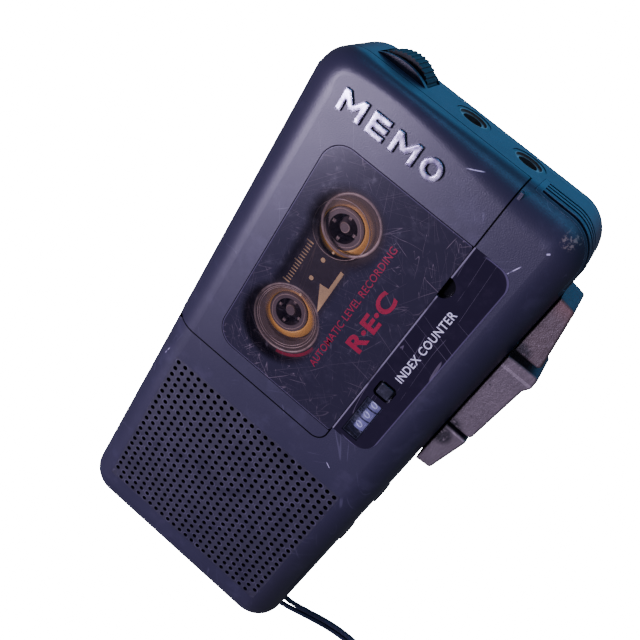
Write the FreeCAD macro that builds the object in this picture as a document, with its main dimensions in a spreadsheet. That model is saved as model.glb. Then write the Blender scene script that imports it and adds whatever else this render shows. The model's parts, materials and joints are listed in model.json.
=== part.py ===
import FreeCAD, Part
import math
import os
import re

import Sketcher
from FreeCAD import Placement, Rotation, Vector

# A pocket dictation machine for microcassettes, lying on its back. Millimetres.
# X points to the side keys, Y to the head end with the jacks, Z out of the front.
# The origin is the middle of the flat back.

doc = FreeCAD.newDocument("dictation_machine")
sheet = doc.addObject("Spreadsheet::Sheet", "Sizes")

SIZES = {
    # casing
    "half_width": 26.9,
    "half_length": 59.0,
    "body_thick": 22.0,
    "corner_round": 7.0,
    "side_round": 6.0,
    "head_round": 3.5,
    "foot_round": 6.5,
    "rear_round": 6.6,
    "wall": 1.5,
    "split": 7.0,
    "gap": 0.12,
    "beyond": 70.0,
    # speaker grille
    "hole_pitch": 1.775,
    "hole_dia": 0.92,
    "hole_columns": 24,
    "hole_rows": 22,
    "grille_middle": -30.35,
    "grille_half_width": 21.3,
    "grille_half_length": 19.5,
    "grille_thick": 1.3,
    "speaker_radius": 17.5,
    # cassette lid, its window and its hinge
    "lid_right": 11.55,
    "lid_foot": -3.4,
    "lid_rim": 17.1,
    "lid_corner": 2.5,
    "hinge_across": -25.7,
    "hinge_up": 18.05,
    "hinge_head": 51.4,
    "bead_radius": 0.87,
    "pin_radius": 0.45,
    "lens_left": -17.0,
    "lens_foot": 0.2,
    "lens_head": 46.4,
    "lens_thick": 1.0,
    "lens_round": 4.2,
    "lens_ledge": 1.4,
    # cassette
    "tape_left": -21.5,
    "tape_width": 33.4,
    "tape_foot": -2.5,
    "tape_length": 50.2,
    "tape_under": 11.4,
    "tape_thick": 8.1,
    "tape_wall": 1.0,
    "hub_across": -8.1,
    "hub_low": 12.4,
    "hub_high": 32.8,
    "hub_radius": 3.9,
    "hub_bore": 2.7,
    # counter panel
    "panel_right": 20.0,
    "panel_foot": 1.2,
    "panel_head": 46.6,
    "panel_thick": 0.8,
    "panel_round": 4.0,
    "notch_along": 38.0,
    "notch_radius": 2.05,
    "window_left": 13.1,
    "window_right": 16.7,
    "window_foot": 2.4,
    "window_head": 11.9,
    "reset_left": 13.7,
    "reset_right": 16.4,
    "reset_foot": 13.6,
    "reset_head": 16.2,
    "digit_radius": 2.9,
    "digit_up": 17.2,
    "digit_across": 15.05,
    "digit_width": 2.3,
    "digit_step": 2.7,
    # keys
    "key_inner": 27.1,
    "key_under": 7.6,
    "key_top": 16.9,
    "key_slot_half": 3.0,
    "stem_under": 8.2,
    "stem_top": 10.8,
    "stem_inner": 21.9,
    # head end
    "wheel_across": -15.2,
    "wheel_along": 55.2,
    "wheel_radius": 6.0,
    "wheel_under": 8.0,
    "wheel_top": 13.0,
    "bulge_radius": 10.0,
    "bulge_along": 50.3,
    "jack_up": 10.6,
    "jack_ring": 3.25,
    "jack_bore": 1.8,
    "jack_inner": 48.8,
    "ear_jack_across": -1.9,
    "mic_jack_across": 9.4,
    "mic_left": 13.2,
    "mic_foot": 47.8,
    "mic_under": 12.6,
    "mic_top": 18.9,
    "groove_deep": 0.6,
    "groove_high": 0.7,
    "groove_step": 1.45,
    "shelf_foot": 47.9,
    "shelf_up": 14.2,
    # side switches
    "switch_up": 8.0,
    "switch_high": 2.2,
    "switch_long": 5.0,
    "switch_travel": 2.0,
    "switch_proud": 27.65,
    "speed_along": -13.5,
    "voice_along": -28.0,
    # mechanism
    "deck_under": 9.6,
    "deck_thick": 1.0,
    "deck_right": 18.8,
    "capstan_across": 9.3,
    "capstan_along": 33.4,
    "capstan_radius": 0.75,
    "flywheel_radius": 9.5,
    "drive_rim": 9.1,
    "motor_across": -13.9,
    "motor_along": 6.0,
    "motor_radius": 8.0,
    "pulley_radius": 1.6,
    "belt_thick": 0.4,
    "reel_radius": 6.0,
    "idler_across": -1.5,
    "idler_radius": 6.05,
    "roller_radius": 3.0,
    "roller_across": 15.4,
    "carriage_left": 14.4,
    # battery case
    "cell_radius": 7.25,
    "cell_length": 50.5,
    "cell_across": 7.6,
    "cell_up": 8.8,
    "door_half": 16.1,
    "door_head": -4.0,
    # wrist strap
    "cord_dia": 1.2,
    "bar_across": 23.86,
    "bar_along": -55.96,
    "bar_radius": 0.75,
    "strap_up": 11.0,
    "coil_across": 53.0,
    "coil_along": -72.1,
    "coil_outer": 8.4,
    "coil_inner": 4.6,
    "coil_high": 2.4,
}

for row, (name, value) in enumerate(SIZES.items(), start=1):
    sheet.set(f"A{row}", name)
    sheet.set(f"B{row}", str(value))
    sheet.setAlias(f"B{row}", name)
doc.recompute()

NAME = r"[a-z][a-z_]{2,}"
nodes = []


def bound(text):
    """An expression in which every sheet name is looked up on the sheet."""
    return re.sub(NAME, lambda word: "Sizes." + word.group(), str(text))


def size(text):
    """The number that an expression of sheet names has now."""
    total = re.sub(NAME, lambda word: f"({sheet.get(word.group())})", str(text))
    return float(FreeCAD.Units.Quantity(total).Value)


# ------------------------------------------------------------ drawing helpers


def place(obj, across, along, up):
    """Bind an object's place to the sheet."""
    for axis, text in zip("xyz", (across, along, up)):
        obj.setExpression(f"Placement.Base.{axis}", bound(text))
    return obj


def block(name, x0, x1, y0, y1, z0, z1):
    """A box between two corners."""
    obj = doc.addObject("Part::Box", name)
    obj.setExpression("Length", bound(f"({x1}) - ({x0})"))
    obj.setExpression("Width", bound(f"({y1}) - ({y0})"))
    obj.setExpression("Height", bound(f"({z1}) - ({z0})"))
    return place(obj, x0, y0, z0)


TURNS = {
    "z": Rotation(),
    "y": Rotation(Vector(1, 0, 0), -90),
    "x": Rotation(Vector(0, 1, 0), 90),
}


def rod(name, axis, radius, length, across, along, up):
    """A cylinder along one axis, from its start point."""
    obj = doc.addObject("Part::Cylinder", name)
    obj.setExpression("Radius", bound(radius))
    obj.setExpression("Height", bound(length))
    obj.Placement = Placement(Vector(), TURNS[axis])
    return place(obj, across, along, up)


def join(name, *parts):
    """Parts fused into one."""
    obj = doc.addObject("Part::MultiFuse", name)
    obj.Shapes = list(parts)
    return obj


def less(name, base, *tools):
    """A part with others cut away."""
    obj = doc.addObject("Part::Cut", name)
    obj.Base = base
    obj.Tool = tools[0] if len(tools) == 1 else join(name + "_tools", *tools)
    return obj


def overlap(name, one, two):
    """What two parts have in common."""
    obj = doc.addObject("Part::Common", name)
    obj.Base = one
    obj.Tool = two
    return obj


def group(name, *parts):
    """Separate solids kept in one node."""
    obj = doc.addObject("Part::Compound", name)
    obj.Links = list(parts)
    return obj


def node(name, obj):
    """Give a finished sub-part its own name."""
    obj.Label = name
    nodes.append(obj)
    return obj


def plane_of(body, role):
    """One of a body's own origin planes or axes."""
    return next(f for f in body.Origin.OriginFeatures if f.Role == role)


def sketch_in(body, name, role="XY_Plane", up="0"):
    """A sketch on the body's own plane, lifted along its normal."""
    sketch = body.newObject("Sketcher::SketchObject", name)
    sketch.AttachmentSupport = (plane_of(body, role), "")
    sketch.MapMode = "FlatFace"
    sketch.setExpression("AttachmentOffset.Base.z", bound(up))
    return sketch


def bind_size(sketch, kind, where, label, text):
    """One dimension of a sketch, bound to the sheet."""
    at = sketch.addConstraint(Sketcher.Constraint(kind, *where, size(text)))
    sketch.renameConstraint(at, label)
    sketch.setExpression(f"Constraints.{label}", bound(text))


def add_outline(sketch, corners):
    """Straight lines through corners, each corner held by its two distances."""
    places = [Vector(size(x), size(y), 0) for x, y in corners]
    count = len(places)
    for i in range(count):
        sketch.addGeometry(Part.LineSegment(places[i], places[(i + 1) % count]))
    for i in range(count):
        sketch.addConstraint(Sketcher.Constraint("Coincident", i, 2, (i + 1) % count, 1))
    for i, (x, y) in enumerate(corners):
        bind_size(sketch, "DistanceX", (-1, 1, i, 1), f"x_of_{i}", x)
        bind_size(sketch, "DistanceY", (-1, 1, i, 1), f"y_of_{i}", y)


def add_circle(sketch, radius, across="0", along="0"):
    """A circle held by its centre and radius."""
    centre = Vector(size(across), size(along), 0)
    i = sketch.addGeometry(Part.Circle(centre, Vector(0, 0, 1), size(radius)))
    bind_size(sketch, "Radius", (i,), f"radius_{i}", radius)
    bind_size(sketch, "DistanceX", (-1, 1, i, 3), f"x_of_{i}", across)
    bind_size(sketch, "DistanceY", (-1, 1, i, 3), f"y_of_{i}", along)


def pad(body, sketch, height):
    """A sketch pushed up into a solid."""
    obj = body.newObject("PartDesign::Pad", sketch.Name + "_pad")
    obj.Profile = sketch
    obj.setExpression("Length", bound(height))
    sketch.Visibility = False
    doc.recompute()
    return obj


def pocket(body, sketch, depth):
    """A sketch cut up into the solid above it."""
    before = body.Shape.Volume
    obj = body.newObject("PartDesign::Pocket", sketch.Name + "_pocket")
    obj.Profile = sketch
    obj.Reversed = True
    obj.setExpression("Length", bound(depth))
    doc.recompute()
    if obj.Shape.Volume >= before - 1e-6:
        raise RuntimeError(f"{obj.Name} cuts nothing")
    return obj


def upright_edges(shape, corners):
    """The names of the vertical edges that stand at the given corners."""
    found = []
    for i, edge in enumerate(shape.Edges, start=1):
        box = edge.BoundBox
        if box.XLength + box.YLength < 1e-6 < box.ZLength:
            at = edge.Vertexes[0].Point
            if any(math.hypot(at.x - x, at.y - y) < 1e-3 for x, y in corners):
                found.append(f"Edge{i}")
    return found


def edges_at(shape, up):
    """The names of the edges that lie at one height."""
    return [
        f"Edge{i}"
        for i, edge in enumerate(shape.Edges, start=1)
        if abs(edge.BoundBox.ZMin - up) + abs(edge.BoundBox.ZMax - up) < 1e-4
    ]


def dressed(body, kind, base, edges, amount):
    """A PartDesign Fillet or Chamfer of named edges."""
    obj = body.newObject("PartDesign::" + kind, f"{body.Name}_{kind}_{len(body.Group)}")
    obj.Base = (base, edges)
    obj.setExpression("Radius" if kind == "Fillet" else "Size", bound(amount))
    doc.recompute()
    return obj


def slab(name, corners, up, height, rounds=(), top_round=None):
    """A padded outline. rounds is a list of (corner numbers, radius)."""
    body = doc.addObject("PartDesign::Body", name)
    sketch = sketch_in(body, name + "_outline", up=up)
    add_outline(sketch, corners)
    last = pad(body, sketch, height)
    for numbers, radius in rounds:
        spots = [(size(corners[i][0]), size(corners[i][1])) for i in numbers]
        last = dressed(body, "Fillet", last, upright_edges(last.Shape, spots), radius)
    if top_round:
        top = size(up) + size(height)
        last = dressed(body, "Fillet", last, edges_at(last.Shape, top), top_round)
    return body


def plate(name, x0, x1, y0, y1, z0, z1, rounds=(), top_round=None):
    """A rectangular slab. Its corners count from low x and y, anticlockwise."""
    corners = [(x0, y0), (x1, y0), (x1, y1), (x0, y1)]
    return slab(name, corners, z0, f"({z1}) - ({z0})", rounds, top_round)


def turned(name, profile, across, along):
    """A body of revolution about Z, from (radius, height) corners."""
    body = doc.addObject("PartDesign::Body", name)
    sketch = sketch_in(body, name + "_profile", "XZ_Plane")
    add_outline(sketch, profile)
    obj = body.newObject("PartDesign::Revolution", name + "_turned")
    obj.Profile = sketch
    obj.ReferenceAxis = (sketch, ["V_Axis"])
    obj.Angle = 360
    doc.recompute()
    return place(body, across, along, "0")


def casing_form(name, inset):
    """The outer form of the casing, or the same form inset all round."""
    raw = block(
        name + "_raw",
        f"-half_width + {inset}",
        f"half_width - {inset}",
        f"-half_length + {inset}",
        f"half_length - {inset}",
        inset,
        f"body_thick - {inset}",
    )
    doc.recompute()
    reach = {key: size(f"{key}_round - {inset}") for key in ("corner", "rear", "side", "head", "foot")}
    upright = doc.addObject("Part::Fillet", name + "_corners")
    upright.Base = raw
    upright.Edges = [
        (i, reach["corner"], reach["corner"])
        for i, edge in enumerate(raw.Shape.Edges, start=1)
        if edge.BoundBox.ZLength > 1
    ]
    doc.recompute()
    rear = doc.addObject("Part::Fillet", name + "_rear")
    rear.Base = upright
    under = upright.Shape.BoundBox.ZMin
    rear.Edges = [
        (i, reach["rear"], reach["rear"])
        for i, edge in enumerate(upright.Shape.Edges, start=1)
        if edge.BoundBox.ZMax < under + 0.01
    ]
    doc.recompute()
    front = doc.addObject("Part::Fillet", name)
    front.Base = rear
    top = rear.Shape.BoundBox.ZMax
    rounds = []
    for i, edge in enumerate(rear.Shape.Edges, start=1):
        if edge.BoundBox.ZMin < top - 0.01:
            continue
        end = reach["head" if edge.CenterOfMass.y > 0 else "foot"]
        first, last = edge.Vertexes[0].Point, edge.Vertexes[-1].Point
        if edge.BoundBox.XLength < 0.01:
            rounds.append((i, reach["side"], reach["side"]))
        elif edge.BoundBox.YLength < 0.01:
            rounds.append((i, end, end))
        elif abs(first.x) > abs(last.x):
            rounds.append((i, reach["side"], end))
        else:
            rounds.append((i, end, reach["side"]))
    front.Edges = rounds
    doc.recompute()
    return front


outer = casing_form("outer_form", "0")
inner = casing_form("inner_form", "wall")
groove_floor = casing_form("groove_form", "groove_deep")

# ------------------------------------------------------------------- casing

KEYS = {
    "record_key": [("key_inner", "34.7"), ("32.6", "34.7"), ("30.3", "46.5"), ("key_inner", "47.0")],
    "play_key": [
        ("key_inner", "15.4"),
        ("32.1", "15.4"),
        ("32.9", "29.4"),
        ("33.7", "31.0"),
        ("33.5", "33.4"),
        ("key_inner", "33.2"),
    ],
    "stop_key": [("key_inner", "4.4"), ("30.3", "4.7"), ("32.1", "14.6"), ("key_inner", "14.7")],
}
STEMS = {"record_key": "40.8", "play_key": "24.4", "stop_key": "9.6"}
KEY_WINDOWS = [("4.15", "33.65"), ("34.45", "47.2")]
SWITCHES = {"speed": "speed_along", "voice": "voice_along"}


def lid_zone(name, grow, rim):
    """The space of the lid seen from the front, with its one free round corner."""
    return plate(
        name,
        "-beyond",
        f"lid_right + {grow}",
        f"lid_foot - {grow}",
        "beyond",
        rim,
        "body_thick + 8",
        rounds=[([1], f"lid_corner + {grow}")],
    )


def front_openings():
    """Everything that is cut through the front cover's walls."""
    cuts = [
        lid_zone("lid_opening", "gap", "lid_rim - 0.1"),
        block(
            "grille_opening",
            "-grille_half_width",
            "grille_half_width",
            "grille_middle - grille_half_length",
            "grille_middle + grille_half_length",
            "body_thick - wall - 0.1",
            "body_thick + 1",
        ),
        plate(
            "panel_recess",
            "lid_right - 1",
            "panel_right + 0.05",
            "panel_foot - 0.05",
            "panel_head + 0.05",
            "body_thick - panel_thick",
            "body_thick + 1",
            rounds=[([1], "panel_round + 0.05"), ([2], "3.05")],
        ),
        block("counter_opening", "12.5", "18.4", "1.9", "17.0", "19", "body_thick + 1"),
        rod("notch", "z", "notch_radius", "2", "lid_right + gap", "notch_along", "body_thick - 1.4"),
        rod(
            "wheel_slot",
            "z",
            "wheel_radius + 0.25",
            "wheel_top - wheel_under + 1.1",
            "wheel_across",
            "wheel_along",
            "wheel_under - 0.5",
        ),
        rod("bar_seat", "z", "bar_radius", "4.4", "bar_across", "bar_along", "strap_up - 2.2"),
        rod("ear_jack_hole", "y", "jack_ring + 0.05", "4", "ear_jack_across", "half_length - 2.5", "jack_up"),
        rod("mic_jack_hole", "y", "jack_ring + 0.05", "4", "mic_jack_across", "half_length - 2.5", "jack_up"),
        block("mic_opening", "mic_left", "beyond", "mic_foot", "beyond", "mic_under", "mic_top"),
        rod("bar_hollow", "z", "3.15", "2.8", "bar_across", "bar_along", "strap_up - 1.4"),
    ]
    for i, (low, high) in enumerate(KEY_WINDOWS):
        x = ("half_width - 2", "half_width + 1")
        cuts.append(block(f"key_window_{i}", *x, low, high, "key_under - 0.3", "key_top + 0.3"))
    for name, along in SWITCHES.items():
        cuts.append(
            block(
                name + "_window",
                "half_width - 2",
                "half_width + 1",
                f"{along} - switch_long / 2 - switch_travel - 0.2",
                f"{along} + switch_long / 2 + 0.2",
                "switch_up - 0.15",
                "switch_up + switch_high + 0.15",
            )
        )
    return cuts


def key_recess():
    """The back and the roof of the recess that the keys sink into."""
    back = block("recess_back", "22.4", "23.2", "3.3", "47.75", "7.65", "17.9")
    roof = block("recess_roof", "22.4", "25.6", "3.3", "47.75", "17.25", "17.9")
    foot = block("recess_foot", "22.4", "25.7", "3.3", "4.0", "7.65", "17.9")
    head = block("recess_head", "22.4", "25.7", "47.25", "47.75", "7.65", "17.9")
    windows = []
    for key, along in STEMS.items():
        y = (f"{along} - key_slot_half - 0.08", f"{along} + key_slot_half + 0.08")
        windows.append(block(key + "_guide", "22", "24", *y, "stem_under - 0.08", "stem_top + 0.08"))
    walls = join("recess_walls", back, roof, foot, head)
    return less("recess", walls, *windows)


def front_cover():
    """The deep front shell, with the walls that box in the cassette bay."""
    zone = block("front_zone", "-beyond", "beyond", "-beyond", "beyond", "split", "body_thick + 1")
    bulge_top = "wheel_top + 1.6"
    swell = rod("wheel_swell", "z", "bulge_radius", f"{bulge_top} - split", "wheel_across", "bulge_along", "split")
    head_end = block(
        "bulge_room", "wheel_across - 6", "wheel_across + 6", "half_length - 2", "half_length + 2", "split", bulge_top
    )
    bulge = overlap("wheel_bulge", swell, head_end)
    half = join("front_half", overlap("front_part", outer, zone), bulge)
    shell = less("front_shell", half, inner, *front_openings())
    bay_foot = block("bay_foot_wall", "-25.6", "12.4", "-4.08", "-3.46", "10.8", "20.6")
    bay_right = block("bay_right_lip", "12.0", "12.5", "-3.7", "57.6", "18.6", "body_thick - panel_thick")
    shelf_block = block("shelf_block", "-25.6", "12.4", "shelf_foot", "57.6", "shelf_up", "shelf_up + 0.9")
    shelf = overlap("head_shelf", shelf_block, groove_floor)
    shelf_wall = block("shelf_wall", "-25.6", "12.4", "shelf_foot", "shelf_foot + 0.6", "10.8", "shelf_up")
    ear_wall = rod("hinge_ear", "y", "bead_radius", "1.6", "hinge_across", "hinge_head + 0.15", "hinge_up")
    ear_foot = block(
        "hinge_ear_foot",
        "hinge_across - bead_radius",
        "hinge_across + bead_radius",
        "hinge_head + 0.15",
        "hinge_head + 1.75",
        "lid_rim - 0.4",
        "hinge_up",
    )
    ear_bore = rod("hinge_ear_bore", "y", "pin_radius + 0.02", "3", "hinge_across", "hinge_head - 0.2", "hinge_up")
    notch = rod("lip_notch", "z", "notch_radius", "2", "lid_right + gap", "notch_along", "body_thick - 1.4")
    counter_room = block("counter_room", "12.2", "18.4", "1.9", "17.0", "13", "body_thick")
    whole = join("front_walls", shell, bay_foot, bay_right, shelf, shelf_wall, ear_wall, ear_foot, key_recess())
    foot_bore = rod("foot_bore", "y", "pin_radius + 0.02", "3.35", "hinge_across", "lid_foot - 3.3", "hinge_up")
    tools = [ear_bore, foot_bore, notch, counter_room]
    return node("front_cover", less("front_cover_solid", whole, *tools))


def door_zone(name, grow):
    """The part of the back that the battery door takes."""
    return block(
        name,
        f"-door_half - {grow}",
        f"door_half + {grow}",
        "-beyond",
        f"door_head + {grow}",
        "-1",
        "split + 0.5",
    )


def rear_cover():
    """The shallow rear shell with the battery case's ribs and the screw seats."""
    zone = block("rear_zone", "-beyond", "beyond", "-beyond", "beyond", "-1", "split")
    shell = less("rear_shell", overlap("rear_half", outer, zone), inner, door_zone("door_opening", "gap"))
    ribs = [
        block("rib_left", "-17.1", "-16.35", "-55.5", "-3.0", "0.3", "9.4"),
        block("rib_right", "16.35", "17.1", "-55.5", "-3.0", "0.3", "9.4"),
        block("rib_head", "-17.1", "17.1", "-3.75", "-3.0", "0.3", "9.4"),
    ]
    seats = [
        rod(f"screw_seat_{i}", "z", "1.75", "1.0", x, y, "-0.1")
        for i, (x, y) in enumerate(SCREWS)
    ]
    posts = []
    for i, (x, y) in enumerate(POSTS):
        posts.append(rod(f"post_foot_{i}", "z", "2.2", "1.8", x, y, "1.2"))
        posts.append(rod(f"post_{i}", "z", "1.4", "deck_under - 2.5", x, y, "2.5"))
    whole = join("rear_walls", shell, *ribs, *posts)
    return node("rear_cover", less("rear_cover_solid", whole, *seats))


SCREWS = [("-21.5", "51"), ("21.5", "51"), ("-21.8", "-18"), ("21.8", "-18")]
POSTS = [("-21.2", "18"), ("-21.2", "44"), ("16", "45.4"), ("7", "-0.9")]


def case_screws():
    """Four countersunk screws in the back, with a crossed slot."""
    parts = []
    for i, (x, y) in enumerate(SCREWS):
        head = rod(f"screw_head_{i}", "z", "1.65", "0.55", x, y, "0.3")
        slots = [
            block(f"screw_slot_a{i}", f"{x} - 1.1", f"{x} + 1.1", f"{y} - 0.18", f"{y} + 0.18", "0.2", "0.6"),
            block(f"screw_slot_b{i}", f"{x} - 0.18", f"{x} + 0.18", f"{y} - 1.1", f"{y} + 1.1", "0.2", "0.6"),
        ]
        parts.append(less(f"screw_{i}", head, *slots))
    return node("case_screws", group("screws", *parts))


def battery_door():
    """The sliding door over the two cells, wrapped up over the foot end."""
    whole = less("door_shell", overlap("door_piece", outer, door_zone("door_area", "0")), inner)
    trim = block("door_trim", "-beyond", "beyond", "-beyond", "beyond", "split - gap", "split + 1")
    ridges = [
        block(f"door_ridge_{i}", "-6", "6", f"-14 - {i} * 1.6", f"-13.3 - {i} * 1.6", "-0.1", "0.35")
        for i in range(5)
    ]
    rooms = [
        rod(f"cell_room_{i}", "y", "cell_radius + 0.12", "beyond", f"{side} * cell_across", "-55.4", "cell_up")
        for i, side in enumerate(("-1", "1"))
    ]
    return node("battery_door", less("door_solid", whole, trim, *ridges, *rooms))


def cassette_lid():
    """The lid over the cassette: wraps the left side and the head end."""
    zone = lid_zone("lid_area", "0", "lid_rim")
    shell = less("lid_shell", overlap("lid_piece", outer, zone), inner)
    under_bead = block("under_bead", "-beyond", "hinge_across", "-beyond", "beyond", "0", "hinge_up")
    lens_seat = plate(
        "lens_seat",
        "lens_left - 0.05",
        "lid_right + 1",
        "lens_foot - 0.05",
        "lens_head + 0.05",
        "body_thick - lens_thick",
        "body_thick + 1",
        rounds=[([0, 3], "lens_round + 0.05")],
    )
    window = plate(
        "lid_window",
        "lens_left + lens_ledge",
        "lid_right - lens_ledge",
        "lens_foot + lens_ledge",
        "lens_head - lens_ledge",
        "body_thick - 3",
        "body_thick + 1",
        rounds=[([0, 3], "lens_round - lens_ledge"), ([1, 2], "0.8")],
    )
    thinned = less("lid_cut", shell, under_bead, lens_seat, window)
    bead_long = "hinge_head - lid_foot - 0.1"
    bead = rod("lid_bead", "y", "bead_radius", bead_long, "hinge_across", "lid_foot + 0.1", "hinge_up")
    catch = block("lid_catch", "10.3", "11.4", "20", "26", "19.7", "body_thick - lens_thick - 0.3")
    whole = join("lid_walls", thinned, bead, catch)
    bore = rod("lid_bore", "y", "pin_radius + 0.05", "56", "hinge_across", "lid_foot - 0.5", "hinge_up")
    ear_room = rod("lid_ear_room", "y", "bead_radius + 0.15", "1.9", "hinge_across", "hinge_head", "hinge_up")
    ear_room_foot = block(
        "lid_ear_room_foot",
        "-beyond",
        "hinge_across + bead_radius + 0.15",
        "hinge_head",
        "hinge_head + 1.9",
        "0",
        "hinge_up",
    )
    return node("cassette_lid", less("lid_solid", whole, bore, ear_room, ear_room_foot))


def lid_lens():
    """The smoked window set flush in the lid."""
    return node(
        "lid_lens",
        plate(
            "lens",
            "lens_left",
            "lid_right",
            "lens_foot",
            "lens_head",
            "body_thick - lens_thick",
            "body_thick",
            rounds=[([0, 3], "lens_round"), ([1, 2], "0.5")],
        ),
    )


def hinge_pin():
    """The steel pin that the lid turns on."""
    pin_long = "hinge_head - lid_foot + 4.8"
    pin = rod("hinge_pin", "y", "pin_radius", pin_long, "hinge_across", "lid_foot - 3.1", "hinge_up")
    return node("lid_hinge_pin", pin)


def speaker_grille():
    """The perforated field in front of the speaker."""
    thick = size("grille_thick")
    half_x, half_y = size("grille_half_width - 0.02"), size("grille_half_length - 0.02")
    middle, under = size("grille_middle"), size("body_thick - grille_thick")
    edge = [
        Vector(-half_x, middle - half_y, under),
        Vector(half_x, middle - half_y, under),
        Vector(half_x, middle + half_y, under),
        Vector(-half_x, middle + half_y, under),
    ]
    wires = [Part.makePolygon(edge + edge[:1])]
    pitch, radius = size("hole_pitch"), size("hole_dia") / 2
    columns, rows = int(size("hole_columns")), int(size("hole_rows"))
    for column in range(columns):
        for row in range(rows):
            if row == 0 and column in (0, columns - 1):
                continue
            at = Vector(
                (column - (columns - 1) / 2) * pitch,
                middle + (row - (rows - 1) / 2) * pitch,
                under,
            )
            wires.append(Part.Wire(Part.makeCircle(radius, at)))
    face = Part.Face(wires, "Part::FaceMakerBullseye")
    obj = doc.addObject("Part::Feature", "grille")
    obj.Shape = face.extrude(Vector(0, 0, thick))
    return node("speaker_grille", obj)


def counter_panel():
    """The glossy inlay that carries the counter."""
    whole = plate(
        "panel",
        "lid_right + gap",
        "panel_right",
        "panel_foot",
        "panel_head",
        "body_thick - panel_thick",
        "body_thick",
        rounds=[([1], "panel_round"), ([2], "3")],
    )
    cuts = [
        block("panel_window", "window_left", "window_right", "window_foot", "window_head", "19", "23"),
        rod("panel_notch", "z", "notch_radius", "3", "lid_right + gap", "notch_along", "body_thick - 2"),
        plate(
            "reset_hole",
            "reset_left - 0.5",
            "reset_right + 0.5",
            "reset_foot - 0.5",
            "reset_head + 0.5",
            "19",
            "23",
            rounds=[([0, 1, 2, 3], "0.9")],
        ),
    ]
    return node("counter_panel", less("panel_solid", whole, *cuts))


def counter_window():
    """The clear pane over the digits."""
    return node(
        "counter_window",
        plate(
            "pane",
            "window_left + 0.02",
            "window_right - 0.02",
            "window_foot + 0.02",
            "window_head - 0.02",
            "body_thick - 0.7",
            "body_thick - 0.1",
            rounds=[([0, 1, 2, 3], "0.3")],
        ),
    )


def reset_button():
    """The button that sets the counter back to zero."""
    cap = plate(
        "reset_cap",
        "reset_left",
        "reset_right",
        "reset_foot",
        "reset_head",
        "body_thick - 1.2",
        "body_thick + 0.1",
        rounds=[([0, 1, 2, 3], "0.35")],
        top_round="0.2",
    )
    foot = block(
        "reset_foot_plate",
        "reset_left - 0.3",
        "reset_right + 0.3",
        "reset_foot - 0.3",
        "reset_head + 0.3",
        "body_thick - 1.7",
        "body_thick - 0.9",
    )
    return node("counter_reset_button", join("reset", cap, foot))


DIGITS = ("hundreds", "tens", "units")


def digit_start(order):
    """Where along the shaft one digit wheel starts."""
    return f"(window_foot + window_head) / 2 - digit_width / 2 + ({order} - 1) * digit_step"


def digit_wheels():
    """Three drums with a shallow groove between each digit."""
    for order, name in enumerate(DIGITS):
        start = digit_start(order)
        drum = rod(f"{name}_drum", "y", "digit_radius", "digit_width", "digit_across", start, "digit_up")
        hole = rod(f"{name}_bore", "y", "0.85", "digit_width + 1", "digit_across", f"{start} - 0.5", "digit_up")
        node(f"counter_wheel_{name}", less(f"{name}_wheel", drum, hole))


def counter_frame():
    """The bracket and the shaft that hold the digit wheels."""
    low, high = "window_foot - 0.3", "window_head + 0.3"
    parts = [
        block("frame_floor", "12.6", "17.2", low, high, "13.4", "13.9"),
        block("frame_foot", "12.6", "17.2", low, f"{low} + 0.5", "13.4", "19.2"),
        block("frame_head", "12.6", "17.2", f"{high} - 0.5", high, "13.4", "19.2"),
        rod("counter_shaft", "y", "0.8", "window_head - window_foot + 0.6", "digit_across", low, "digit_up"),
    ]
    return node("counter_frame", join("counter_bracket", *parts))


# ---------------------------------------------------------- keys and switches


def side_keys():
    """The three side keys: a shaped cap outside and a stem through the wall."""
    outer_corners = {"record_key": [1, 2], "play_key": [1, 3, 4], "stop_key": [1, 2]}
    for name, corners in KEYS.items():
        cap = slab(
            name + "_cap",
            corners,
            "key_under",
            "key_top - key_under",
            rounds=[(outer_corners[name], "0.7")],
            top_round="0.45",
        )
        along = STEMS[name]
        stem = block(
            name + "_stem",
            "stem_inner",
            "key_inner + 0.5",
            f"{along} - key_slot_half",
            f"{along} + key_slot_half",
            "stem_under",
            "stem_top",
        )
        node(name, join(name + "_solid", cap, stem))


def key_parts():
    """The latch plate under the stems and the leaf springs behind them."""
    latch = plate("latch", "20.2", "24.9", "5", "46", "6.9", "7.5", rounds=[([0, 1, 2, 3], "0.8")])
    slots = [
        block(f"latch_slot_{i}", "21", "23.6", f"{along} - 1.5", f"{along} + 1.5", "6", "8")
        for i, along in enumerate(STEMS.values())
    ]
    node("key_latch_plate", less("latch_plate", latch, *slots))
    strip = block("spring_strip", "19.05", "19.3", "5", "46", "8.9", "9.4")
    fingers = [
        block(f"spring_finger_{i}", "19.05", "19.3", f"{along} - 2", f"{along} + 2", "8.9", "10.6")
        for i, along in enumerate(STEMS.values())
    ]
    node("key_leaf_springs", join("leaf_springs", strip, *fingers))


def switches():
    """Two slide switches: ribbed knobs outside, their bodies inside."""
    bodies = []
    for name, along in SWITCHES.items():
        knob = plate(
            name + "_slider",
            "25.3",
            "switch_proud",
            f"{along} - switch_long / 2",
            f"{along} + switch_long / 2",
            "switch_up",
            "switch_up + switch_high",
            rounds=[([1, 2], "0.5")],
        )
        ribs = [
            block(
                f"{name}_rib_{i}",
                "switch_proud - 0.3",
                "switch_proud + 1",
                f"{along} - 1.5 + {i} * 0.9",
                f"{along} - 1.1 + {i} * 0.9",
                "switch_up - 1",
                "switch_up + switch_high + 1",
            )
            for i in range(4)
        ]
        node(f"{name}_switch_knob", less(name + "_knob", knob, *ribs))
        bodies.append(
            block(
                name + "_switch_body",
                "22.2",
                "25.2",
                f"{along} - 4.6",
                f"{along} + 3.6",
                "7.3",
                "11.2",
            )
        )
    node("switch_bodies", group("switch_pair", *bodies))


# --------------------------------------------------------------- head end


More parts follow.
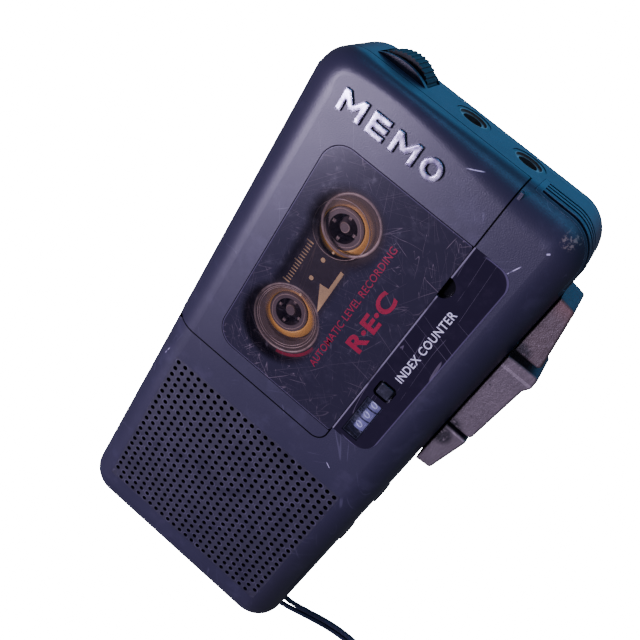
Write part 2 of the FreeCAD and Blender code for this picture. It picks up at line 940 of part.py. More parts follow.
def volume_wheel():
    """The knurled wheel that stands out of the head end."""
    body = doc.addObject("PartDesign::Body", "wheel")
    sketch = sketch_in(body, "wheel_disc", up="wheel_under")
    add_circle(sketch, "wheel_radius")
    add_circle(sketch, "1.25")
    pad(body, sketch, "wheel_top - wheel_under")
    notch = sketch_in(body, "wheel_notch", up="wheel_under")
    add_circle(notch, "0.26", "wheel_radius + 0.08")
    cut = pocket(body, notch, "wheel_top - wheel_under")
    ring = body.newObject("PartDesign::PolarPattern", "wheel_knurl")
    ring.Originals = [cut]
    ring.Axis = (plane_of(body, "Z_Axis"), [""])
    ring.Angle = 360
    ring.Occurrences = 44
    body.Tip = ring
    doc.recompute()
    place(body, "wheel_across", "wheel_along", "0")
    return node("volume_wheel", body)


def volume_control():
    """The variable resistor under the wheel, with its shaft."""
    case = block("pot_case", "wheel_across - 5", "wheel_across + 5", "50.4", "56.8", "4.4", "7.4")
    shaft = rod("pot_shaft", "z", "1.2", "5.4", "wheel_across", "wheel_along", "7.3")
    return node("volume_control", join("volume_pot", case, shaft))


def jack(name, across):
    """A miniature jack: a ring in the wall, a case behind it and a bore."""
    ring = rod(name + "_ring", "y", "jack_ring", "1.9", across, "half_length - 2", "jack_up")
    rim_cut = rod(name + "_dish", "y", "jack_ring - 0.7", "0.5", across, "half_length - 0.45", "jack_up")
    case = block(
        name + "_case",
        f"{across} - 3.4",
        f"{across} + 3.4",
        "jack_inner",
        "half_length - 1.6",
        "jack_up - 3.2",
        "jack_up + 3.2",
    )
    bore = rod(name + "_bore", "y", "jack_bore", "beyond", across, "jack_inner + 0.6", "jack_up")
    return node(name, less(name + "_solid", join(name + "_body", ring, case), rim_cut, bore))


def microphone():
    """The ribbed cover round the corner and the capsule behind it."""
    zone = block(
        "mic_area",
        "mic_left + 0.08",
        "beyond",
        "mic_foot + 0.08",
        "beyond",
        "mic_under + 0.08",
        "mic_top - 0.08",
    )
    shell = less("mic_shell", overlap("mic_piece", outer, zone), inner)
    grooves = []
    for i in range(4):
        up = f"mic_under + 0.55 + {i} * groove_step"
        strip = block(
            f"mic_strip_{i}", "mic_left + 1", "beyond", "mic_foot + 0.8", "beyond", up, f"{up} + groove_high"
        )
        grooves.append(less(f"mic_groove_{i}", strip, groove_floor))
    node("microphone_cover", less("mic_solid", shell, *grooves))
    node("microphone_capsule", rod("capsule", "z", "3", "4.4", "20.2", "52.2", "13.4"))


# ------------------------------------------------------------------ cassette


def cassette():
    """The cassette's clear shell, hollow, with hub holes and openings for the heads."""
    right = "tape_left + tape_width"
    head = "tape_foot + tape_length"
    top = "tape_under + tape_thick"
    whole = plate(
        "tape_shell",
        "tape_left",
        right,
        "tape_foot",
        head,
        "tape_under",
        top,
        rounds=[([0, 1, 2, 3], "1.6")],
    )
    cuts = [
        block(
            "tape_room",
            "tape_left + tape_wall",
            f"{right} - tape_wall",
            "tape_foot + tape_wall",
            f"{head} - tape_wall",
            "tape_under + tape_wall",
            f"{top} - tape_wall",
        ),
        rod("capstan_hole", "z", "1.7", "3", "capstan_across", "capstan_along", "tape_under - 1"),
        block("roller_gap", "8", "beyond", "capstan_along - 3.9", "capstan_along + 3.9", "12.2", "17"),
        block("head_gap", "8", "beyond", "17.4", "27.8", "12.0", "17.8"),
        block("erase_gap", "8", "beyond", "12.8", "17.0", "12.0", "17.2"),
    ]
    for i, along in enumerate(("hub_low", "hub_high")):
        cuts.append(rod(f"hub_hole_{i}", "z", "hub_radius + 0.15", "12", "hub_across", along, "tape_under - 1"))
    return node("cassette_shell", less("tape_case", whole, *cuts))


REELS = {"supply": ("hub_low", "9.2"), "take_up": ("hub_high", "6.6")}


def tape_reels():
    """For each reel: the hub with its tape inside the shell, and the spindle that turns it."""
    for name, (along, pack) in REELS.items():
        hub = turned(
            f"{name}_hub_body",
            [
                ("hub_bore", "12.55"),
                (pack, "12.55"),
                (pack, "17.3"),
                ("hub_radius", "17.3"),
                ("hub_radius", "18.6"),
                ("hub_bore", "18.6"),
            ],
            "hub_across",
            along,
        )
        near, far = "(hub_bore - 0.8)", "(hub_bore + 0.3)"
        spans = [
            (f"+ {near}", f"+ {far}", "- 0.3", "+ 0.3"),
            (f"- {far}", f"- {near}", "- 0.3", "+ 0.3"),
            ("- 0.3", "+ 0.3", f"+ {near}", f"+ {far}"),
            ("- 0.3", "+ 0.3", f"- {far}", f"- {near}"),
        ]
        teeth = []
        for i, (x0, x1, y0, y1) in enumerate(spans):
            x = (f"hub_across {x0}", f"hub_across {x1}")
            y = (f"{along} {y0}", f"{along} {y1}")
            teeth.append(block(f"{name}_tooth_{i}", *x, *y, "13", "18.2"))
        node(f"{name}_tape_hub", join(f"{name}_hub", hub, *teeth))
        node(
            f"{name}_spindle",
            turned(
                f"{name}_spindle_body",
                [
                    ("0", "8.7"),
                    ("reel_radius", "8.7"),
                    ("reel_radius", "9.4"),
                    ("1.7", "9.4"),
                    ("1.7", "16.4"),
                    ("0.9", "17.9"),
                    ("0", "17.9"),
                ],
                "hub_across",
                along,
            ),
        )


# ----------------------------------------------------------------- mechanism


def chassis_plate():
    """The steel deck under the cassette, with holes for the turning parts."""
    deck = plate(
        "deck",
        "-24.4",
        "deck_right",
        "-3.4",
        "47.6",
        "deck_under",
        "deck_under + deck_thick",
        rounds=[([0, 1, 2, 3], "2")],
    )
    feet = [
        rod(f"tape_rest_{i}", "z", "1.1", "tape_under - deck_under - 0.55", x, y, "deck_under + 0.5")
        for i, (x, y) in enumerate([("-19", "1"), ("-19", "44"), ("4", "1"), ("4", "45")])
    ]
    holes = [
        rod("deck_hole_low", "z", "1.9", "4", "hub_across", "hub_low", "deck_under - 1"),
        rod("deck_hole_high", "z", "1.9", "4", "hub_across", "hub_high", "deck_under - 1"),
        rod("deck_hole_capstan", "z", "capstan_radius + 0.05", "4", "capstan_across", "capstan_along", "deck_under - 1"),
    ]
    return node("chassis_plate", less("deck_solid", join("deck_and_rests", deck, *feet), *holes))


def flywheel():
    """The flywheel with the capstan that drives the tape."""
    node(
        "flywheel",
        turned(
            "flywheel_body",
            [
                ("0", "5.0"),
                ("capstan_radius", "5.0"),
                ("capstan_radius", "6.2"),
                ("flywheel_radius", "6.2"),
                ("flywheel_radius", "8.5"),
                ("drive_rim", "8.5"),
                ("drive_rim", "9.3"),
                ("capstan_radius", "9.3"),
                ("capstan_radius", "16.8"),
                ("0", "16.8"),
            ],
            "capstan_across",
            "capstan_along",
        ),
    )


def motor():
    """The drive motor, its pulley and the belt to the flywheel."""
    can = turned(
        "motor_can",
        [("0", "1.8"), ("motor_radius", "1.8"), ("motor_radius", "6.6"), ("2.2", "6.6"), ("2.2", "7.0"), ("0", "7.0")],
        "motor_across",
        "motor_along",
    )
    node("motor", can)
    pulley = turned(
        "pulley_body",
        [
            ("0", "7.2"),
            ("pulley_radius + 0.5", "7.2"),
            ("pulley_radius + 0.5", "7.4"),
            ("pulley_radius", "7.5"),
            ("pulley_radius", "8.3"),
            ("pulley_radius + 0.5", "8.4"),
            ("pulley_radius + 0.5", "8.6"),
            ("0", "8.6"),
        ],
        "motor_across",
        "motor_along",
    )
    node("motor_pulley", pulley)
    node("drive_belt", drive_belt())


def belt_loop(radius_a, radius_b):
    """The closed line of an open belt round the motor pulley and the flywheel."""
    a = Vector(size("motor_across"), size("motor_along"), 0)
    b = Vector(size("capstan_across"), size("capstan_along"), 0)
    line = b - a
    lean = math.asin((radius_b - radius_a) / line.Length)
    heading = math.atan2(line.y, line.x)
    ends = []
    for side in (1, -1):
        angle = heading + side * (math.pi / 2 + lean)
        way = Vector(math.cos(angle), math.sin(angle), 0)
        ends.append((a + way * radius_a, b + way * radius_b))
    back = a - Vector(math.cos(heading), math.sin(heading), 0) * radius_a
    front = b + Vector(math.cos(heading), math.sin(heading), 0) * radius_b
    return Part.Wire(
        [
            Part.LineSegment(ends[0][0], ends[0][1]).toShape(),
            Part.Arc(ends[0][1], front, ends[1][1]).toShape(),
            Part.LineSegment(ends[1][1], ends[1][0]).toShape(),
            Part.Arc(ends[1][0], back, ends[0][0]).toShape(),
        ]
    )


def drive_belt():
    """A flat rubber belt, a hair clear of both pulleys."""
    small, large = size("pulley_radius") + 0.03, size("flywheel_radius") + 0.03
    thick = size("belt_thick")
    band = Part.Face([belt_loop(small + thick, large + thick), belt_loop(small, large)], "Part::FaceMakerBullseye")
    obj = doc.addObject("Part::Feature", "belt")
    obj.Shape = band.extrude(Vector(0, 0, 0.7))
    obj.Placement.Base = Vector(0, 0, 7.55)
    return obj


def idler():
    """The idler between the two reels, on its post in the deck."""
    wheel = turned(
        "idler_body",
        [("0.65", "8.7"), ("idler_radius", "8.7"), ("idler_radius", "9.3"), ("1.4", "9.3"), ("1.4", "9.45"), ("0.65", "9.45")],
        "idler_across",
        "(hub_low + hub_high) / 2",
    )
    node("idler_wheel", wheel)
    node(
        "idler_post",
        rod("post", "z", "0.6", "deck_under - 8", "idler_across", "(hub_low + hub_high) / 2", "8.0"),
    )


def head_carriage():
    """The sliding carriage with both heads and the pinch roller's axle."""
    carriage = plate(
        "carriage",
        "carriage_left",
        "20.8",
        "12.4",
        "37.8",
        "11.3",
        "12.1",
        rounds=[([0, 1, 2, 3], "1.2")],
    )
    axle = rod("roller_axle", "z", "0.6", "5.0", "roller_across", "capstan_along", "12.0")
    node("head_carriage", join("carriage_and_axle", carriage, axle))
    head = plate("tape_head", "12.4", "17.6", "18.6", "26.6", "12.1", "17.4", rounds=[([0, 3], "1.6")])
    node("record_play_head", head)
    erase = plate("erase", "13.0", "16.4", "13.4", "16.4", "12.1", "16.8", rounds=[([0, 3], "1.0")])
    node("erase_head", erase)
    node(
        "pinch_roller",
        turned(
            "roller_body",
            [("0.65", "12.3"), ("roller_radius", "12.3"), ("roller_radius", "16.6"), ("0.65", "16.6")],
            "roller_across",
            "capstan_along",
        ),
    )


def circuit_board():
    """The board under the mechanism, with a few parts on it and room for the motor."""
    board = plate("board", "-23.7", "23.7", "-2.6", "56", "3.0", "4.0", rounds=[([0, 1, 2, 3], "5")])
    room = rod("motor_room", "z", "motor_radius + 0.4", "9", "motor_across", "motor_along", "-1")
    chips = [
        block("chip_large", "10", "18", "2", "12", "3.9", "5.8"),
        block("chip_small", "2", "7", "14", "20", "3.9", "5.4"),
        block("coil_can", "-20", "-14", "20", "26", "3.9", "7.0"),
        rod("capacitor_a", "z", "2.5", "2.8", "18.6", "18", "3.9"),
        rod("capacitor_b", "z", "2.0", "3.0", "-18", "34", "3.9"),
        rod("capacitor_c", "z", "2.0", "3.0", "-13", "40", "3.9"),
    ]
    cuts = [room, rod("capstan_room", "z", "1.6", "9", "capstan_across", "capstan_along", "-1")]
    cuts += [rod(f"post_room_{i}", "z", "1.5", "5", x, y, "0") for i, (x, y) in enumerate(POSTS)]
    return node("circuit_board", less("board_solid", join("board_parts", board, *chips), *cuts))


def speaker():
    """A thin moving-coil speaker behind the grille."""
    r = "speaker_radius"
    return node(
        "speaker",
        turned(
            "speaker_body",
            [
                ("0", "16.5"),
                ("5.8", "16.5"),
                ("5.8", "17.6"),
                (f"{r} - 2", "18.6"),
                (r, "18.9"),
                (r, "body_thick - grille_thick"),
                (f"{r} - 1.8", "body_thick - grille_thick"),
                ("5", "18.8"),
                ("0", "19.6"),
            ],
            "0",
            "grille_middle",
        ),
    )


# ----------------------------------------------------------------- batteries

CELLS = {"left": ("-cell_across", "-54.6", 1), "right": ("cell_across", "-56.1", -1)}


def battery_cells():
    """Two AA cells, one turned end for end."""
    cells = []
    for name, (across, start, way) in CELLS.items():
        can_start = start if way > 0 else f"{start} + 1"
        nub_start = f"{start} + cell_length - 1.1" if way > 0 else start
        can = rod(f"cell_{name}", "y", "cell_radius", "cell_length - 1", across, can_start, "cell_up")
        nub = rod(f"nub_{name}", "y", "2.7", "1.1", across, nub_start, "cell_up")
        cells.append(join(f"battery_{name}", can, nub))
    return node("battery_cells", group("cells", *cells))


def coil_spring(name, across, along, length):
    """A battery spring: round wire wound about Y."""
    radius, wire, turns = 1.7, 0.25, 3
    helix = Part.makeHelix((length - 2 * wire) / turns, length - 2 * wire, radius)
    start = Part.Wire(Part.makeCircle(wire, Vector(radius, 0, 0), Vector(0, 1, 0)))
    shape = Part.Wire(helix).makePipeShell([start], True, True)
    obj = doc.addObject("Part::Feature", name)
    obj.Shape = shape
    obj.Placement = Placement(Vector(across, along + wire, size("cell_up")), TURNS["y"])
    return obj


def battery_contacts():
    """Flat plates at both ends of the cells, and the springs on two of them."""
    foot, head = "-half_length + wall + 0.02", "-4.0"
    plates = []
    for side, across in (("left", "-cell_across"), ("right", "cell_across")):
        for end, along in (("foot", foot), ("head", head)):
            x = (f"{across} - 4", f"{across} + 4")
            y = (along, f"{along} + 0.25")
            top = "12.6" if end == "foot" else "10.8"
            plates.append(block(f"contact_{side}_{end}", *x, *y, "7.3", top))
    node("battery_contacts", group("contact_plates", *plates))
    springs = [
        coil_spring("spring_left", -size("cell_across"), -57.2, 2.5),
        coil_spring("spring_right", size("cell_across"), -5.55, 1.5),
    ]
    node("battery_springs", group("contact_springs", *springs))


# --------------------------------------------------------------- wrist strap

# The doubled cord, from behind its bar to the coil: both strands' route points.
STRAND_A = [
    (22.9, -53.8, 11.0),
    (25.6, -54.9, 11.0),
    (28.2, -56.0, 10.4),
    (31.2, -57.0, 8.8),
    (35.0, -58.0, 6.6),
    (39.5, -59.2, 4.0),
    (44.0, -60.7, 1.9),
    (48.6, -62.3, 0.8),
    (52.6, -64.0, 0.7),
]
STRAND_B = [
    (21.7, -56.8, 11.0),
    (23.1, -58.4, 11.0),
    (25.8, -59.5, 10.6),
    (29.2, -60.1, 9.4),
    (33.0, -60.1, 7.4),
    (37.2, -60.3, 4.9),
    (41.6, -61.4, 2.6),
    (47.0, -63.6, 1.0),
    (51.2, -65.4, 0.7),
]


def route_wire(points, what):
    """Straight runs joined by tangent arcs, each arc as large as its runs allow."""
    spots = [Vector(*p) for p in points]
    edges, radii, turns, start = [], [], [], spots[0]
    for before, at, after in zip(spots, spots[1:], spots[2:]):
        come, go = (at - before).normalize(), (after - at).normalize()
        turn = come.getAngle(go)
        turns.append(round(math.degrees(turn), 1))
        shorter = min(at.distanceToPoint(before), at.distanceToPoint(after))
        reach = 0.45 * shorter
        radii.append(round(reach / math.tan(turn / 2), 2))
        enter, leave = at - come * reach, at + go * reach
        inward = (go - come).normalize()
        middle = at + inward * radii[-1] * (1 / math.cos(turn / 2) - 1)
        edges.append(Part.LineSegment(start, enter).toShape())
        edges.append(Part.Arc(enter, middle, leave).toShape())
        start = leave
    edges.append(Part.LineSegment(start, spots[-1]).toShape())
    print(what, "arc radii", radii, "turns", turns)
    return Part.Wire(edges)


def wrist_strap():
    """The strap's bar, its doubled cord and the coil that the rest is wound into."""
    node("strap_bar", rod("bar", "z", "bar_radius", "4.4", "bar_across", "bar_along", "strap_up - 2.2"))
    route = STRAND_A[::-1] + STRAND_B
    line = route_wire(route, "wrist strap")
    radius = size("cord_dia") / 2
    first = Vector(*route[0])
    ring = Part.Wire(Part.makeCircle(radius, first, Vector(*route[1]) - first))
    tube = doc.addObject("Part::Feature", "strap_tube")
    tube.Shape = line.makePipeShell([ring], True, False, 1)
    expected = math.pi * radius**2 * line.Length
    print("strap length", round(line.Length, 2))
    print("strap volume", round(tube.Shape.Volume, 3), "section x length", round(expected, 3))
    full = rod("coil_full", "z", "coil_outer", "coil_high", "coil_across", "coil_along", "0")
    empty = rod("coil_hole", "z", "coil_inner", "coil_high + 1", "coil_across", "coil_along", "-0.5")
    node("wrist_strap_cord", less("strap_to_coil", tube, full))
    node("wrist_strap_coil", less("coil", full, empty))


# ------------------------------------------------------------------- letters

LETTER_HIGH = 3.8
LETTER_FOOT = 50.2
LETTER_STROKE = 0.95
LETTER_THICK = 0.45


def bar_between(name, start, end, width):
    """A flat stroke from one point to another on the lid's face."""
    line = Vector(end[0] - start[0], end[1] - start[1], 0)
    obj = doc.addObject("Part::Box", name)
    obj.Length = line.Length
    obj.Width = width
    obj.Height = LETTER_THICK
    angle = math.degrees(math.atan2(line.y, line.x))
    turn = Rotation(Vector(0, 0, 1), angle)
    shift = turn.multVec(Vector(0, -width / 2, 0))
    base = Vector(start[0], start[1], size("body_thick")) + shift
    obj.Placement = Placement(base, turn)
    return obj


def front_letters():
    """The raised generic word on the lid: M E M O, one solid for each letter."""
    half = LETTER_STROKE / 2
    low, high = LETTER_FOOT, LETTER_FOOT + LETTER_HIGH
    letters = []
    for i, left in enumerate((-19.1, -8.5)):
        right = left + 4.7
        middle = (left + right) / 2
        strokes = [
            ((left + half, low), (left + half, high)),
            ((right - half, low), (right - half, high)),
            ((left + half, high - 0.1), (middle, low + 1.3)),
            ((right - half, high - 0.1), (middle, low + 1.3)),
        ]
        parts = [bar_between(f"m{i}_{k}", a, b, LETTER_STROKE) for k, (a, b) in enumerate(strokes)]
        raw = join(f"letter_m{i}_raw", *parts)
        frame = block(f"letter_m{i}_frame", left, right, low, high, "body_thick - 1", "body_thick + 1")
        letters.append(overlap(f"letter_m{i}", raw, frame))
    left, right = -13.2, -9.8
    strokes = [((left + half, low), (left + half, high))]
    for up in (low + half, (low + high) / 2, high - half):
        strokes.append(((left, up), (right, up)))
    parts = [bar_between(f"e_{k}", a, b, LETTER_STROKE) for k, (a, b) in enumerate(strokes)]
    letters.append(join("letter_e", *parts))
    middle, radius = -0.9, LETTER_HIGH / 2
    full = rod("letter_o_full", "z", radius, LETTER_THICK, middle, low + radius, "body_thick")
    hole = rod("letter_o_hole", "z", radius - LETTER_STROKE, 2, middle, low + radius, "body_thick - 1")
    letters.append(less("letter_o", full, hole))
    return node("front_letters", group("word", *letters))


# ---------------------------------------------------------------- everything

front_cover()
rear_cover()
case_screws()
battery_door()
cassette_lid()
lid_lens()
hinge_pin()
speaker_grille()
counter_panel()
counter_window()
reset_button()
digit_wheels()
counter_frame()
side_keys()
key_parts()
switches()
volume_wheel()
volume_control()
jack("earphone_jack", "ear_jack_across")
jack("microphone_jack", "mic_jack_across")
microphone()
cassette()
tape_reels()
chassis_plate()
flywheel()
motor()
idler()
head_carriage()
circuit_board()
speaker()
battery_cells()
battery_contacts()
wrist_strap()
front_letters()
doc.recompute()

for obj in doc.Objects:
    if {"Invalid", "Error"} & set(obj.State):
        raise RuntimeError(f"{obj.Name} failed: {obj.State}")
for obj in nodes:
    shape = obj.Shape
    if shape.isNull() or not shape.isValid() or not shape.Solids:
        raise RuntimeError(f"{obj.Label} has no valid solid")

os.makedirs("parts", exist_ok=True)
for obj in nodes:
    obj.Shape.exportStep(f"parts/{obj.Label}.step")
    box = obj.Shape.BoundBox
    print(
        f"{obj.Label:24s} solids {len(obj.Shape.Solids):3d} volume {obj.Shape.Volume:10.2f}"
        f"  x {box.XMin:7.2f} {box.XMax:7.2f}  y {box.YMin:7.2f} {box.YMax:7.2f}"
        f"  z {box.ZMin:6.2f} {box.ZMax:6.2f}"
    )
print(len(nodes), "nodes")
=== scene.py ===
"""The looks of a pocket dictation machine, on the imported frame.

The scene is in metres. Sizes and places here are in millimetres, times MM where they reach the scene.
"""

import json
import math

import bmesh
import bpy
from mathutils import Matrix, Vector


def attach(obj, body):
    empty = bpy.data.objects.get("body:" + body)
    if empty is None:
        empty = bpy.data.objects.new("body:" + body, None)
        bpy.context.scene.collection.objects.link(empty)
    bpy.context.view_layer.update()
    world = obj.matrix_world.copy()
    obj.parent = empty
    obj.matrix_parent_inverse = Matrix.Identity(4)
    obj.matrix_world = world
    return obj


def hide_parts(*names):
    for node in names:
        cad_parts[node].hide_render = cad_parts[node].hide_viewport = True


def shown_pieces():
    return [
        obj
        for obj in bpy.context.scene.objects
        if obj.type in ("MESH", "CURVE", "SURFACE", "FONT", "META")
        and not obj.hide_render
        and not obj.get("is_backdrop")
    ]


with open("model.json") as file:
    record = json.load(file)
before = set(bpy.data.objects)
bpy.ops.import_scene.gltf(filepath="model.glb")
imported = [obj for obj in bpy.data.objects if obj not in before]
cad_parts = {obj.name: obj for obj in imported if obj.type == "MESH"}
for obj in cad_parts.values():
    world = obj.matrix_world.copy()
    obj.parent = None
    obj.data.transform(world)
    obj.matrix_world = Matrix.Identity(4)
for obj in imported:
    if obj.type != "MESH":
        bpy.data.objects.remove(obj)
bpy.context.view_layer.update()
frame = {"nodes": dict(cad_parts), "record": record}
MM = 0.001

# The front, the cassette and what shows through the window. Outlines are left, right, foot, head and corner.
FRONT = 22.0
LENS = (-17.0, 40.0, 0.2, 46.4, 4.2)
PANEL = (11.67, 20.0, 1.2, 46.6, 3.4)
LID = (-60.0, 11.61, -3.46, 120.0, 2.5)
NOTCH = (11.67, 38.0)
SHELL_TOP = 19.5
INK_UP = SHELL_TOP + 0.03
HUBS = {"take_up_reel": (-8.1, 32.8), "supply_reel": (-8.1, 12.4)}
UPPER_RING, UPPER_RADIUS = (-7.0, 34.7), 5.75
LOWER_RING, LOWER_RADIUS = (-7.6, 11.6), 6.95

# The sound holes.
HOLE_PITCH = 1.775
GRILLE_MIDDLE = -30.35


def link(obj):
    """Put an object in the scene."""
    bpy.context.scene.collection.objects.link(obj)
    return obj


# ------------------------------------------------------------ camera


def add_camera():
    """The camera above the machine's head end, looking down at the front."""
    data = bpy.data.cameras.new("camera")
    data.lens = 44.92
    data.sensor_width = 36
    data.shift_x = -0.0313
    data.shift_y = 0.0286
    data.clip_start = 0.005
    cam = link(bpy.data.objects.new("camera", data))
    right = Vector((0.76066, 0.49265, -0.42273))
    up = Vector((-0.64023, 0.67693, -0.36314))
    turn = Matrix((right, up, right.cross(up))).transposed().to_4x4()
    cam.matrix_world = Matrix.Translation(Vector((18.11, 94.523, 138.963)) * MM) @ turn
    bpy.context.scene.camera = cam


add_camera()


# ------------------------------------------------------------ materials


def srgb(red, green, blue):
    """A colour given as 0 to 255 display values, in linear light."""
    parts = [v / 255 for v in (red, green, blue)]
    linear = [v / 12.92 if v <= 0.04045 else ((v + 0.055) / 1.055) ** 2.4 for v in parts]
    return (*linear, 1.0)


class Paint:
    """One node material, drawn in millimetres of the object's own frame.

    Its methods add nodes and give back an output socket, except give, glow, set and see_through.
    """

    def __init__(self, name):
        self.mat = bpy.data.materials.new(name)
        self.mat.use_nodes = True
        self.tree = self.mat.node_tree
        self.shader = self.tree.nodes["Principled BSDF"]
        self.out = self.tree.nodes["Material Output"]
        coords = self.tree.nodes.new("ShaderNodeTexCoord")
        scaled = self.add("ShaderNodeVectorMath", operation="SCALE")
        self.tree.links.new(coords.outputs["Object"], scaled.inputs[0])
        scaled.inputs["Scale"].default_value = 1000
        self.place = scaled.outputs[0]
        parts = self.add("ShaderNodeSeparateXYZ")
        self.tree.links.new(self.place, parts.inputs[0])
        self.x, self.y, self.z = parts.outputs

    def add(self, kind, **settings):
        node = self.tree.nodes.new(kind)
        for key, value in settings.items():
            setattr(node, key, value)
        return node

    def give(self, socket, value):
        """Feed a socket from another socket or with a plain value."""
        if isinstance(value, bpy.types.NodeSocket):
            self.tree.links.new(value, socket)
        else:
            socket.default_value = value

    def maths(self, operation, *values):
        node = self.add("ShaderNodeMath", operation=operation)
        for socket, value in zip(node.inputs, values):
            self.give(socket, value)
        return node.outputs[0]

    def times(self, one, two):
        return self.maths("MULTIPLY", one, two)

    def plus(self, one, two):
        return self.maths("ADD", one, two)

    def flip(self, value):
        return self.maths("SUBTRACT", 1.0, value)

    def ramp(self, value, low, high):
        """0 below low and 1 above high, smooth between. low may be the larger."""
        node = self.add("ShaderNodeMapRange", interpolation_type="SMOOTHSTEP")
        self.give(node.inputs["Value"], value)
        node.inputs["From Min"].default_value = min(low, high)
        node.inputs["From Max"].default_value = max(low, high)
        out = node.outputs["Result"]
        return out if low < high else self.flip(out)

    def band(self, value, low, high, soft=0.15):
        """1 between low and high."""
        return self.times(self.ramp(value, low - soft, low), self.ramp(value, high + soft, high))

    def turned(self, angle, stretch):
        """The place seen along axes turned about Z by an angle, squeezed along each."""
        node = self.add("ShaderNodeMapping", vector_type="TEXTURE")
        self.give(node.inputs["Vector"], self.place)
        node.inputs["Rotation"].default_value = (0, 0, math.radians(angle))
        node.inputs["Scale"].default_value = [1 / v for v in stretch]
        return node.outputs[0]

    def noise(self, size, detail=2.0, rough=0.5, seed=0.0, place=None):
        node = self.add("ShaderNodeTexNoise", noise_dimensions="4D")
        self.give(node.inputs["Vector"], place or self.place)
        node.inputs["W"].default_value = seed
        node.inputs["Scale"].default_value = 1 / size
        node.inputs["Detail"].default_value = detail
        node.inputs["Roughness"].default_value = rough
        return node.outputs[0]

    def specks(self, size, seed=0.0):
        """Distance to the nearest of many scattered points."""
        node = self.add("ShaderNodeTexVoronoi", voronoi_dimensions="4D")
        self.give(node.inputs["Vector"], self.place)
        node.inputs["W"].default_value = seed
        node.inputs["Scale"].default_value = 1 / size
        return node.outputs["Distance"]

    def hairlines(self, angle, size, width, keep, seed):
        """Long fine scratches at an angle, broken up by a coarse mask."""
        place = self.turned(angle, (1.0, 0.07, 1.0))
        wave = self.noise(size, 1.0, 0.4, seed, place)
        offset = self.maths("ABSOLUTE", self.maths("SUBTRACT", wave, 0.5))
        line = self.ramp(offset, width, width * 0.3)
        mask = self.ramp(self.noise(size * 3.1, 2.0, 0.5, seed + 7), keep, keep + 0.05)
        return self.times(line, mask)

    def mark(self, x, y, angle, length, width):
        """One short scratch, centred at a place on the front."""
        c, s = math.cos(math.radians(angle)), math.sin(math.radians(angle))
        dx = self.maths("SUBTRACT", self.x, x)
        dy = self.maths("SUBTRACT", self.y, y)
        far = self.maths("ABSOLUTE", self.plus(self.times(dx, c), self.times(dy, s)))
        off = self.maths("ABSOLUTE", self.plus(self.times(dx, -s), self.times(dy, c)))
        return self.times(self.ramp(off, width, width * 0.3), self.ramp(far, length / 2, length / 4))

    def arcs(self, count, middle, spread):
        """Long curved hairlines in every direction through one area."""
        reach = 55
        total = 0.0
        for i in range(count):
            turn = i * 2.4
            centre = (middle[0] + reach * math.cos(turn), middle[1] + reach * math.sin(turn))
            radius = reach + spread * ((i * 7) % 11 - 5) / 5
            off = self.maths("ABSOLUTE", self.maths("SUBTRACT", self.ring(*centre), radius))
            line = self.ramp(off, 0.07, 0.02)
            mask = self.ramp(self.noise(5.0, 2.0, 0.6, 30 + i), 0.5, 0.6)
            total = self.plus(self.times(line, mask), total)
        return total

    def mix(self, amount, one, two):
        node = self.add("ShaderNodeMix", data_type="RGBA")
        self.give(node.inputs[0], amount)
        self.give(node.inputs[6], one)
        self.give(node.inputs[7], two)
        return node.outputs[2]

    def blend(self, amount, one, two):
        """A number between two others."""
        node = self.add("ShaderNodeMix", data_type="FLOAT")
        self.give(node.inputs[0], amount)
        self.give(node.inputs[2], one)
        self.give(node.inputs[3], two)
        return node.outputs[0]

    def ring(self, across, along):
        """Distance from an upright axis."""
        dx = self.maths("SUBTRACT", self.x, across)
        dy = self.maths("SUBTRACT", self.y, along)
        return self.maths("SQRT", self.plus(self.times(dx, dx), self.times(dy, dy)))

    def from_hub(self):
        """Distance from the nearest tape hub's axis."""
        return self.maths("MINIMUM", *[self.ring(*at) for at in HUBS.values()])

    def from_hole(self):
        """Distance from the nearest sound hole's axis."""
        squares = []
        for value in (self.x, self.maths("SUBTRACT", self.y, GRILLE_MIDDLE)):
            cell = self.maths("FRACT", self.plus(self.times(value, 1 / HOLE_PITCH), 40.0))
            offset = self.maths("SUBTRACT", cell, 0.5)
            squares.append(self.times(offset, offset))
        return self.times(self.maths("SQRT", self.plus(*squares)), HOLE_PITCH)

    def tube(self, across, up):
        """Distance from an axis that runs along the machine."""
        dx = self.maths("SUBTRACT", self.x, across)
        dz = self.maths("SUBTRACT", self.z, up)
        return self.maths("SQRT", self.plus(self.times(dx, dx), self.times(dz, dz)))

    def inside(self, x0, x1, y0, y1, corner):
        """How far inside a rounded rectangle a place is, negative outside."""
        half_x, half_y = (x1 - x0) / 2 - corner, (y1 - y0) / 2 - corner
        qx = self.maths("ABSOLUTE", self.maths("SUBTRACT", self.x, (x0 + x1) / 2))
        qy = self.maths("ABSOLUTE", self.maths("SUBTRACT", self.y, (y0 + y1) / 2))
        qx = self.maths("SUBTRACT", qx, half_x)
        qy = self.maths("SUBTRACT", qy, half_y)
        px, py = self.maths("MAXIMUM", qx, 0.0), self.maths("MAXIMUM", qy, 0.0)
        out = self.maths("SQRT", self.plus(self.times(px, px), self.times(py, py)))
        deep = self.maths("MINIMUM", self.maths("MAXIMUM", qx, qy), 0.0)
        return self.maths("SUBTRACT", corner, self.plus(out, deep))

    def edges(self, radius, low=0.02, high=0.2):
        """1 on sharp edges, from a rounded normal."""
        bevel = self.add("ShaderNodeBevel", samples=4)
        bevel.inputs["Radius"].default_value = radius * MM
        flat = self.add("ShaderNodeNewGeometry")
        dot = self.add("ShaderNodeVectorMath", operation="DOT_PRODUCT")
        self.give(dot.inputs[0], bevel.outputs[0])
        self.give(dot.inputs[1], flat.outputs["Normal"])
        return self.ramp(self.flip(dot.outputs["Value"]), low, high)

    def raised(self, height, depth):
        """A bump of that depth in millimetres."""
        node = self.add("ShaderNodeBump")
        node.inputs["Distance"].default_value = depth * MM
        self.give(node.inputs["Height"], height)
        return node.outputs[0]

